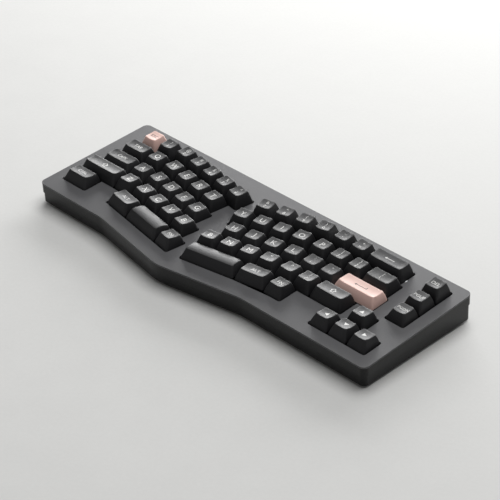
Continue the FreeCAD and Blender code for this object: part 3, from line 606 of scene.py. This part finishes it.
# Drawn spring steel. Each coil flattens as its key goes down.
spring_steel = finish("spring_steel", ("#8C8C8E", "#A2A2A4"), (0.28, 0.4), grain=0.4, depth=0.004,
                      Metallic=1.0)
spring_low, spring_high = BOARD_TOP + HOUSING_FLOOR, SHOULDER - STEM_BLOCK - SPRING_PLAY
spring_length = spring_high - spring_low


def switch_spring():
    """A spring as a wire's ring turned and raised round the switch's middle."""
    bpy.ops.object.select_all(action="DESELECT")
    bpy.ops.mesh.primitive_circle_add(vertices=SPRING_SIDES, radius=SPRING_WIRE, fill_type="NGON",
                                      location=(SPRING_RADIUS, 0, spring_low + SPRING_WIRE),
                                      rotation=(math.pi / 2, 0, 0))
    bpy.ops.object.transform_apply(location=True, rotation=True, scale=False)
    coil = bpy.context.object
    edit(coil)
    bpy.ops.mesh.delete(type="ONLY_FACE")
    bpy.ops.object.mode_set(mode="OBJECT")
    pitch = (spring_length - 2 * SPRING_WIRE) / SPRING_TURNS
    modify(coil, "SCREW", angle=2 * math.pi, iterations=SPRING_TURNS, screw_offset=pitch,
           steps=SPRING_STEPS, render_steps=SPRING_STEPS, use_merge_vertices=True,
           merge_threshold=WELD_DISTANCE)
    edit(coil)
    bpy.ops.mesh.fill_holes(sides=SPRING_SIDES)
    bpy.ops.mesh.normals_make_consistent(inside=False)
    bpy.ops.object.mode_set(mode="OBJECT")
    return coil


for node in key_nodes:
    places = [key["place"] for key in keys if key["node"] == node]
    springs = copies(switch_spring(), places, "springs_" + node)
    dress(springs, deck, spring_steel, "case", "switch_springs")
    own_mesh(springs)


# Stabilisers
# A wide key has two more stems, in nylon guides on the plate, tied by a bent steel wire that makes both
# ends go down together.
WIRE_RADIUS, WIRE_FRONT, WIRE_END = 0.8, -8.85, -1.5
WIRE_BEND = 1.6

guides = copy_of("stabiliser_housings", "stabiliser_guides", deck)
break_edges(guides, MOULD_EDGE)
dress(guides, deck, nylon, "case", "stabiliser_housings")

bpy.ops.object.select_all(action="DESELECT")
bpy.ops.mesh.primitive_plane_add(size=1, location=(0, 0, PLATE_TOP + WIRE_HEIGHT))
wire = bpy.context.object
bpy.ops.object.transform_apply(location=True, rotation=False, scale=False)
edit(wire)
bpy.ops.transform.resize(value=(2 * STABILISER_REACH, WIRE_END - WIRE_FRONT, 1))
bpy.ops.transform.translate(value=(0, (WIRE_END + WIRE_FRONT) / 2, 0))
select("EDGE", lambda edge: all(vert.co.y > WIRE_END - WELD_DISTANCE for vert in edge.verts))
bpy.ops.mesh.delete(type="EDGE")
select("VERT", lambda vert: vert.co.y < WIRE_FRONT + WELD_DISTANCE)
bpy.ops.mesh.bevel(offset=WIRE_BEND, segments=6, affect="VERTICES")
bpy.ops.object.mode_set(mode="OBJECT")
bpy.ops.object.convert(target="CURVE")
wire = bpy.context.object
wire.data.bevel_depth = WIRE_RADIUS
wire.data.bevel_resolution = 3
wire.data.use_fill_caps = True
bpy.ops.object.convert(target="MESH")
wide_places = [key["place"] for key in keys if key["width"] >= STABILISED_WIDTH]
wires = copies(bpy.context.object, wide_places, "stabiliser_wires_steel")
dress(wires, deck, spring_steel, "case", "stabiliser_wires")


# Circuit board
# Black glass-fibre board, its lacquer a little glossy and uneven. On its underside sit a socket and a
# diode for every switch, and the controller.
BOARD_THICKNESS = 1.6
BOARD_BOTTOM = BOARD_TOP - BOARD_THICKNESS
SOCKET_HALF, SOCKET_HEIGHT, SOCKET_OFFSET = (5.45, 2.3), 1.7, 4.9
PIN_RADIUS, PIN_DEPTH, PIN_PLACES = 0.75, 1.2, ((-3.4, 4.0), (3.0, 5.9))
TAB_LENGTH, TAB_HALF, TAB_THICKNESS = 1.3, 1.1, 0.25
DIODE_PLACE, DIODE_SIZE, DIODE_LEG = (-6.6, -5.2), (1.6, 2.8, 1.1), 0.5
CHIP_DIMPLE, CHIP_LEGS, CHIP_LEG_SIZE = 0.5, 12, (0.25, 0.5, 0.2)

lacquer = finish("black_board_lacquer", ("#0F1512", "#151C18"), (0.25, 0.4), grain=0.8, depth=0.01)
board = copy_of("circuit_board", "lacquered_board", deck)
break_edges(board, SHEET_EDGE)
dress(board, deck, lacquer, "case", "circuit_board")

socket_low = BOARD_BOTTOM - SOCKET_HEIGHT
socket = block((-SOCKET_HALF[0], SOCKET_OFFSET - SOCKET_HALF[1], socket_low),
               (SOCKET_HALF[0], SOCKET_OFFSET + SOCKET_HALF[1], BOARD_BOTTOM))
bevel(socket, standing, HOUSING_EDGE, segments=2)
bevel(socket, level_edge(socket_low), MOULD_EDGE, segments=1)
for x, y in PIN_PLACES:
    cut(socket, rod(PIN_RADIUS, socket_low - PAST, socket_low + PIN_DEPTH, x, y, sides=12))
dress(copies(socket, key_places, "switch_sockets"), deck, nylon, "case", "hot_swap_sockets")

# Tinned copper: soft-edged, bright and slightly warm.
tinned = finish("tinned_copper", ("#B9B4AA", "#C9C4BA"), (0.25, 0.4), grain=0.4, depth=0.01, Metallic=1.0)
tabs = []
for side in (-1, 1):
    low_x, high_x = sorted((side * SOCKET_HALF[0], side * (SOCKET_HALF[0] + TAB_LENGTH)))
    tab = block((low_x, SOCKET_OFFSET - TAB_HALF, BOARD_BOTTOM - TAB_THICKNESS),
                (high_x, SOCKET_OFFSET + TAB_HALF, BOARD_BOTTOM))
    bevel(tab, standing, MOULD_EDGE, segments=1)
    tabs.append(tab)
for side in (-1, 1):
    x, y = DIODE_PLACE
    reach = side * DIODE_SIZE[1] / 2
    low_y, high_y = sorted((y + reach, y + reach + side * DIODE_LEG))
    leg = block((x - DIODE_SIZE[0] / 4, low_y, BOARD_BOTTOM - TAB_THICKNESS),
                (x + DIODE_SIZE[0] / 4, high_y, BOARD_BOTTOM))
    bevel(leg, standing, MOULD_EDGE, segments=1)
    tabs.append(leg)
dress(copies(gather(tabs, "tab"), key_places, "solder_tabs"), deck, tinned, "case")
x, y = DIODE_PLACE
width, depth, height = DIODE_SIZE
diode = block((x - width / 2, y - depth / 2, BOARD_BOTTOM - height),
              (x + width / 2, y + depth / 2, BOARD_BOTTOM))
bevel(diode, level_edge(BOARD_BOTTOM - height), MOULD_EDGE, segments=1)
dress(copies(diode, key_places, "diodes"), deck, nylon, "case")

chip = copy_of("controller_chip", "controller", deck)
chip_low, chip_high = loose_boxes("controller_chip", deck)[0]
break_edges(chip, MOULD_EDGE / 2)
middle = (chip_low + chip_high) / 2
corner = chip_low + Vector((CHIP_DIMPLE * 2, CHIP_DIMPLE * 2, 0))
cut(chip, rod(CHIP_DIMPLE, corner.z - PAST, corner.z + MOULD_EDGE, corner.x, corner.y, sides=16))
dress(chip, deck, nylon, "case", "controller_chip")
legs = []
half = (chip_high.x - chip_low.x) / 2
width, depth, height = CHIP_LEG_SIZE
for quarter in range(4):
    for i in range(CHIP_LEGS):
        along = (i - (CHIP_LEGS - 1) / 2) * 2 * width
        leg = block((along - width / 2, half, -height), (along + width / 2, half + depth, 0))
        leg.data.transform(Matrix.Translation((middle.x, middle.y, chip_high.z))
                           @ Matrix.Rotation(quarter * math.pi / 2, 4, "Z"))
        legs.append(leg)
dress(gather(legs, "controller_legs"), deck, tinned, "case")


# Keycaps
# Double-shot PBT caps, moulded hollow with a post for each stem. Every row has its own height, and all
# but the back one lean, higher at their front. The tops are dished, and the two spacebars are crowned.
KEY_GAP = 1.0
CAP_SINK = 0.45
# The height, the shift to the back and the lean of each row's tops, from the back row to the front one
TOP_HEIGHT = (10.6, 9.3, 7.9, 9.1, 8.2)
TOP_SHIFT = (0.8, 1.1, 1.7, 1.6, 1.9)
TOP_LEAN = [math.radians(lean) for lean in (0.0, -2.0, -3.0, -7.0, -8.0)]
TOP_NARROWING = 6.3
CORNER_ROUNDING, LIP_ROUNDING, FOOT_ROUNDING = 1.5, 0.4, 0.2
FLANK_SWELL = 0.4
DISH_RADIUS, DISH_DEPTH = 34.0, 0.8
CROWN_RADIUS = 24.0
CAP_WALL, CAP_ROOF = 1.3, 1.5
# Where a top is cut into strips, from its edge inwards, and the flanks, as shares of the height
DISH_CUTS = (1.7, 2.8, 3.9, 4.9, 5.875)
FLANK_CUTS = (0.2, 0.4, 0.6)
# How much of its length a normal has upright: at most on a flank, and at least on a top
FLANK_FACING, TOP_FACING = 0.7, 0.75
POST_RADIUS, POST_LOW = 2.75, 0.05
SOCKET_LENGTH, SOCKET_BAR, SOCKET_ROOM = 4.2, 1.4, 3.8
SPACEBARS = ("left_space", "right_space")
PINK_KEYS = ("escape", "enter")


def top_fall(width, row, crowned, x, y):
    """How far a keycap's top lies under its rim's plane at a place."""
    across = y - TOP_SHIFT[row]
    if crowned:
        return CROWN_RADIUS - math.sqrt(CROWN_RADIUS ** 2 - across ** 2)
    along = max(abs(x) - (width - 1) * UNIT / 2, 0)
    reach = math.hypot(along, across)
    return max(DISH_DEPTH - DISH_RADIUS + math.sqrt(DISH_RADIUS ** 2 - reach ** 2), 0)


def top_level(width, row, crowned, x, y):
    """The height of a keycap's top over its base at a place."""
    slope = (y - TOP_SHIFT[row]) * math.tan(TOP_LEAN[row])
    return TOP_HEIGHT[row] + slope - top_fall(width, row, crowned, x, y)


def cap_post(x, high):
    """A keycap's post, with the cross-shaped hole that grips the stem."""
    post = rod(POST_RADIUS, POST_LOW, high, x)
    for half_x, half_y in ((SOCKET_LENGTH / 2, SOCKET_BAR / 2), (SOCKET_BAR / 2, SOCKET_LENGTH / 2)):
        cut(post, block((x - half_x, -half_y, -PAST), (x + half_x, half_y, POST_LOW + SOCKET_ROOM)))
    return post


def is_flank(face):
    """A test for a keycap's four sides and their rounded corners."""
    return abs(face.normal.z) < FLANK_FACING


def borders(test):
    """A test for the edges between a face that passes a test and one that doesn't."""
    return lambda edge: {test(face) for face in edge.link_faces} == {True, False}


def cut_grid(top_x, top_y, height, shift):
    """Cuts a keycap's flat top and flanks into strips, in edit mode, so that they can be curved."""
    for step in DISH_CUTS:
        for side in (-1, 1):
            for axis, place in ((0, side * (top_x / 2 - step)), (1, shift + side * (top_y / 2 - step))):
                point, normal = [0, 0, 0], [0, 0, 0]
                point[axis], normal[axis] = place, 1
                select("FACE", lambda face: face.normal.z > -FACING)
                bpy.ops.mesh.bisect(plane_co=point, plane_no=normal, threshold=WELD_DISTANCE)
    for share in FLANK_CUTS:
        select("FACE", is_flank)
        bpy.ops.mesh.bisect(plane_co=(0, 0, share * height), plane_no=(0, 0, 1), threshold=WELD_DISTANCE)


def curve_outside(cap, width, row, crowned):
    """Leans and dishes or crowns a keycap's top and swells its flanks, in edit mode."""
    height = TOP_HEIGHT[row]
    slant = TOP_NARROWING / 2 / height
    mesh = bmesh.from_edit_mesh(cap.data)
    mesh.normal_update()
    moves = []
    for vert in mesh.verts:
        flanks = [face.normal.xy for face in vert.link_faces if is_flank(face)]
        out = sum(flanks, Vector((0, 0))).normalized() if flanks else Vector((0, 0))
        if vert.co.z > height - WELD_DISTANCE:
            swell = top_fall(width, row, crowned, vert.co.x, vert.co.y) * slant
            rise = top_level(width, row, crowned, vert.co.x, vert.co.y) - height
        else:
            share = vert.co.z / height
            swell = FLANK_SWELL * 4 * share * (1 - share)
            rise = 0
        moves.append((vert, Vector((out.x * swell, out.y * swell, rise))))
    for vert, move in moves:
        vert.co += move
    bmesh.update_edit_mesh(cap.data)


def hollow_out(base_x, base_y, height, shift):
    """Presses a keycap's underside up to its roof, in edit mode, and gives the roof's height."""
    roof = height - CAP_ROOF - DISH_DEPTH
    inner_x, inner_y = base_x - 2 * CAP_WALL, base_y - 2 * CAP_WALL
    narrowing = TOP_NARROWING * roof / height
    rise = (0, shift * roof / height, roof)
    select("FACE", faces_down)
    bpy.ops.mesh.dissolve_faces()
    bpy.ops.mesh.inset(thickness=CAP_WALL - FOOT_ROUNDING)
    bpy.ops.mesh.extrude_region_move(TRANSFORM_OT_translate={"value": rise})
    bpy.ops.transform.resize(value=(1 - narrowing / inner_x, 1 - narrowing / inner_y, 1))
    return roof


def keycap(width, row, crowned):
    """One keycap, modelled round the middle of its base."""
    height, shift = TOP_HEIGHT[row], TOP_SHIFT[row]
    base_x, base_y = width * UNIT - KEY_GAP, UNIT - KEY_GAP
    top_x, top_y = base_x - TOP_NARROWING, base_y - TOP_NARROWING
    cap = block((-base_x / 2, -base_y / 2, 0), (base_x / 2, base_y / 2, height))
    edit(cap)
    select("FACE", faces_up)
    bpy.ops.transform.resize(value=(top_x / base_x, top_y / base_y, 1))
    bpy.ops.transform.translate(value=(0, shift, 0))
    select("EDGE", standing)
    bpy.ops.mesh.bevel(offset=CORNER_ROUNDING, segments=5, affect="EDGES")
    cut_grid(top_x, top_y, height, shift)
    curve_outside(cap, width, row, crowned)
    select("EDGE", borders(lambda face: face.normal.z > TOP_FACING))
    bpy.ops.mesh.bevel(offset=LIP_ROUNDING, segments=3, affect="EDGES")
    select("EDGE", borders(faces_down))
    bpy.ops.mesh.bevel(offset=FOOT_ROUNDING, segments=1, affect="EDGES")
    roof = hollow_out(base_x, base_y, height, shift)
    bpy.ops.object.mode_set(mode="OBJECT")
    stems = (0, -STABILISER_REACH, STABILISER_REACH) if width >= STABILISED_WIDTH else (0,)
    return gather([cap] + [cap_post(x, roof + CAP_ROOF / 2) for x in stems], "pattern_cap")


# Moulded PBT is dry to the touch, with a fine even grain and a soft sheen.
charcoal = finish("charcoal_pbt", ("#1D1D1F", "#242426"), (0.42, 0.50), grain=0.45, depth=0.015)
blush = finish("blush_pbt", ("#E6BFB4", "#EBC8BE"), (0.42, 0.52), grain=0.45, depth=0.015)

patterns = {}
for key in keys:
    name = key["name"]
    kind = (key["width"], key["row"], name in SPACEBARS)
    if kind not in patterns:
        patterns[kind] = keycap(*kind)
    cap = bpy.data.objects.new("keycap_" + name, patterns[kind].data.copy())
    bpy.context.collection.objects.link(cap)
    material, slot = (blush, "pink_keycap") if name in PINK_KEYS else (charcoal, "keycap")
    cap_place = deck @ key["place"] @ Matrix.Translation((0, 0, -CAP_SINK))
    dress(cap, cap_place, material, key["node"], key["node"])
for pattern in patterns.values():
    bpy.data.objects.remove(pattern)


# Legends
# Each sign is the second shot of the moulding: pale plastic let almost flush into the dished top, dark on
# the two pink caps. Only plain letters, digits, symbols, words and arrows are drawn.
LEGENDS = {
    "escape": "ESC", "1": "!\n1", "2": "@\n2", "3": "#\n3", "4": "$\n4", "5": "%\n5", "6": "^\n6",
    "7": "&\n7", "8": "*\n8", "9": "(\n9", "0": ")\n0", "minus": "_\n-", "equals": "+\n=",
    "open_bracket": "{\n[", "close_bracket": "}\n]", "backslash": "|\n\\", "semicolon": ":\n;",
    "quote": "\"\n'", "comma": "<\n,", "full_stop": ">\n.", "slash": "?\n/", "tab": "TAB",
    "caps_lock": "CAPS", "left_shift": "⇧", "right_shift": "⇧", "left_control": "CTRL",
    "left_alt": "ALT", "right_alt": "ALT", "left_fn": "FN", "right_fn": "FN",
    "b_right": "B", "up": "▲", "left": "◀", "down": "▼", "right": "▶",
    "delete": "DEL", "page_up": "PGUP", "page_down": "PGDN",
}
# The long arrows on two keys: the length, and how far the tail at the right end turns up
LONG_ARROWS = {"backspace": (9.5, 0.0), "enter": (11.5, 1.9)}
LETTER_SIZE, PAIR_SIZE, WORD_SIZE, ARROW_SIZE = 7.0, 4.4, 4.6, 4.4
PAIR_SPACING, LONGEST_WORD = 1.15, 10.0
ARROW_STROKE, ARROW_POINT, ARROW_HEAD = 0.6, 0.15, (2.0, 2.4)
LEGEND_STEP = 0.9
LEGEND_RISE, LEGEND_DEPTH = 0.02, 0.15


def legend_size(text):
    """The letter size for a sign: arrows, one letter, a pair over each other, or a word."""
    if text in "▲▼◀▶":
        return ARROW_SIZE
    if len(text) == 1:
        return LETTER_SIZE
    return PAIR_SIZE if "\n" in text else WORD_SIZE


def flat_text(text):
    """A sign set in plain type, as a flat mesh."""
    bpy.ops.object.select_all(action="DESELECT")
    bpy.ops.object.text_add()
    type_set = bpy.context.object.data
    type_set.body = text
    type_set.size = legend_size(text)
    type_set.align_x = "CENTER"
    type_set.space_line = PAIR_SPACING
    bpy.ops.object.convert(target="MESH")
    return bpy.context.object


def long_arrow(length, tail):
    """A thin arrow that points left, drawn from a strip by extruding its ends, as a flat mesh."""
    head_length, head_width = ARROW_HEAD
    half = (length - head_length) / 2
    bpy.ops.object.select_all(action="DESELECT")
    bpy.ops.mesh.primitive_plane_add(size=1)
    sign = bpy.context.object
    edit(sign)
    bpy.ops.transform.resize(value=(2 * half, ARROW_STROKE, 1))
    select("EDGE", lambda edge: all(vert.co.x < WELD_DISTANCE - half for vert in edge.verts))
    bpy.ops.mesh.extrude_region_move(TRANSFORM_OT_translate={"value": (-2 * WELD_DISTANCE, 0, 0)})
    bpy.ops.transform.resize(value=(1, head_width / ARROW_STROKE, 1))
    bpy.ops.mesh.extrude_region_move(TRANSFORM_OT_translate={"value": (-head_length, 0, 0)})
    bpy.ops.transform.resize(value=(1, ARROW_POINT / head_width, 1))
    if tail:
        select("EDGE", lambda edge: all(vert.co.x > half - WELD_DISTANCE for vert in edge.verts))
        bpy.ops.mesh.extrude_region_move(TRANSFORM_OT_translate={"value": (ARROW_STROKE, 0, 0)})
        select("EDGE", lambda edge: all(vert.co.x > half - WELD_DISTANCE and vert.co.y > 0
                                        for vert in edge.verts))
        bpy.ops.mesh.extrude_region_move(TRANSFORM_OT_translate={"value": (0, tail, 0)})
    select("FACE", lambda face: face.normal.z < 0)
    bpy.ops.mesh.flip_normals()
    bpy.ops.object.mode_set(mode="OBJECT")
    return sign


def spans_of(piece):
    """The least and greatest x, and the least and greatest y, of a piece."""
    return [[pick(vert.co[i] for vert in piece.data.vertices) for pick in (min, max)] for i in (0, 1)]


def press_on(sign, spans, width, row):
    """Cuts a flat sign into strips and lays it on a keycap's dished top."""
    edit(sign)
    for axis, (least, most) in enumerate(spans):
        steps = int((most - least) / 2 / LEGEND_STEP)
        for i in range(-steps, steps + 1):
            point, normal = [0, 0, 0], [0, 0, 0]
            point[axis], normal[axis] = i * LEGEND_STEP + axis * TOP_SHIFT[row], 1
            bpy.ops.mesh.select_all(action="SELECT")
            bpy.ops.mesh.bisect(plane_co=point, plane_no=normal, threshold=WELD_DISTANCE)
    mesh = bmesh.from_edit_mesh(sign.data)
    for vert in mesh.verts:
        vert.co.z = top_level(width, row, False, vert.co.x, vert.co.y) + LEGEND_RISE
    bmesh.update_edit_mesh(sign.data)
    bpy.ops.object.mode_set(mode="OBJECT")
    modify(sign, "SOLIDIFY", thickness=LEGEND_DEPTH, offset=-1)


pale_shot = finish("pale_second_shot", ("#D4D4D1", "#DEDEDB"), (0.4, 0.5), grain=0.45, depth=0.01)
dark_shot = finish("dark_second_shot", ("#3A2E2C", "#443735"), (0.4, 0.5), grain=0.45, depth=0.01)
for key in keys:
    name, row = key["name"], key["row"]
    if name in SPACEBARS:
        continue
    if name in LONG_ARROWS:
        sign = long_arrow(*LONG_ARROWS[name])
    else:
        sign = flat_text(LEGENDS.get(name, name.upper()))
        left, right = spans_of(sign)[0]
        if right - left > LONGEST_WORD:
            sign.data.transform(Matrix.Scale(LONGEST_WORD / (right - left), 4))
    sign.name = "legend_" + name
    spans = spans_of(sign)
    sign.data.transform(Matrix.Translation((-sum(spans[0]) / 2, TOP_SHIFT[row] - sum(spans[1]) / 2, 0)))
    press_on(sign, spans, key["width"], row)
    sign_place = deck @ key["place"] @ Matrix.Translation((0, 0, -CAP_SINK))
    dress(sign, sign_place, dark_shot if name in PINK_KEYS else pale_shot, key["node"])


# USB-C socket
# A drawn and nickel-plated steel shell on the board, its mouth in the tray's back wall, with a black
# tongue that carries gold contacts on both sides.
USB_PLACE = -145.5
USB_SIZE = (8.94, 7.4, 3.2)
# The rounding is a hair under half the height, so that the ends keep a flat side
USB_MOUTH, USB_SHELL, USB_BACK, USB_ROUNDING = 59.9, 0.3, 1.0, 1.59
TONGUE = (6.2, 4.9, 0.7)
CONTACTS, CONTACT_SIZE, CONTACT_START = 12, (0.25, 3.4, 0.04), 1.0

# The nickel is bright with a warm tint, and the gold a little softer.
nickel = finish("nickel_plate", ("#B4B2AE", "#C4C2BE"), (0.15, 0.28), grain=0.4, depth=0.004, Metallic=1.0)
gold = finish("gold_contacts", ("#C9A24A", "#D8B25A"), (0.2, 0.3), grain=0.3, depth=0.003, Metallic=1.0)
width, depth, height = USB_SIZE
usb_z = BOARD_TOP + height / 2
shell = block((USB_PLACE - width / 2, USB_MOUTH - depth, BOARD_TOP),
              (USB_PLACE + width / 2, USB_MOUTH, BOARD_TOP + height))
bevel(shell, lambda edge: abs(edge.verts[0].co.y - edge.verts[1].co.y) > depth / 2,
      USB_ROUNDING, segments=8)
edit(shell)
select("FACE", lambda face: face.normal.y > FACING)
bpy.ops.mesh.inset(thickness=USB_SHELL)
bpy.ops.mesh.extrude_region_move(TRANSFORM_OT_translate={"value": (0, USB_BACK - depth, 0)})
bpy.ops.object.mode_set(mode="OBJECT")
dress(shell, deck, nickel, "case", "usb_c_socket")
back = USB_MOUTH - depth + USB_BACK
width, depth, height = TONGUE
tongue = block((USB_PLACE - width / 2, back - OVERLAP, usb_z - height / 2),
               (USB_PLACE + width / 2, back + depth, usb_z + height / 2))
bevel(tongue, lambda edge: all(vert.co.y > back + depth / 2 for vert in edge.verts),
      MOULD_EDGE, segments=2)
dress(tongue, deck, nylon, "case", "usb_c_socket")
contacts = []
wide, long, thick = CONTACT_SIZE
front = back + CONTACT_START
for side in (-1, 1):
    low_z, high_z = sorted((usb_z + side * height / 2, usb_z + side * (height / 2 + thick)))
    for i in range(CONTACTS):
        x = USB_PLACE + (i - (CONTACTS - 1) / 2) * 2 * wide
        contacts.append(block((x - wide / 2, front, low_z), (x + wide / 2, front + long, high_z)))
dress(gather(contacts, "usb_contacts"), deck, gold, "case", "usb_c_socket")


# Indicator
# A small oval light guide of clear acrylic set through the cover beside Backspace. It glows white.
lens_glow = finish("lit_acrylic", ("#DCDCD8", "#E6E6E2"), (0.15, 0.25), grain=0.5, depth=0.002,
                   **{"Emission Color": linear("#F4F4F0"), "Emission Strength": 0.15,
                      "Subsurface Weight": 0.2})
lens = copy_of("indicator_lens", "indicator_light", deck)
break_edges(lens, MOULD_EDGE)
dress(lens, deck, lens_glow, "case", "indicator_lens")


# Studio
# A pale painted floor, a long soft lamp low behind the keyboard, which catches the lips of the caps, and
# a large soft one overhead.
FLOOR_SIZE = 8.0
SKY_STRENGTH = 0.2

# Matt paint, slightly uneven as from a roller.
painted = finish("painted_floor", ("#D6D6D4", "#DADAD8"), (0.8, 0.9), grain=3.0, depth=0.01)
bpy.ops.object.select_all(action="DESELECT")
bpy.ops.mesh.primitive_plane_add(size=FLOOR_SIZE, location=(0, 0, 0))
floor = bpy.context.object
floor.name = "floor"
floor.data.materials.append(painted)

world = bpy.data.worlds.new("studio")
world.use_nodes = True
sky = world.node_tree.nodes["Background"]
sky.inputs["Color"].default_value = linear("#E8E8E8")
sky.inputs["Strength"].default_value = SKY_STRENGTH
bpy.context.scene.world = world


def lamp(name, place, width, height, power):
    """A soft oblong lamp that points at the keyboard."""
    bpy.ops.object.light_add(type="AREA", location=place)
    made = bpy.context.object
    made.name = name
    made.data.shape = "RECTANGLE"
    made.data.size = width
    made.data.size_y = height
    made.data.energy = power
    made.rotation_euler = (-Vector(place)).to_track_quat("-Z", "Y").to_euler()


lamp("low_lamp", place=(-0.75, 1.55, 0.5), width=2.0, height=0.7, power=42)
lamp("high_lamp", place=(0.0, 0.5, 1.9), width=1.6, height=1.6, power=28)

bpy.context.scene.view_settings.view_transform = "Standard"
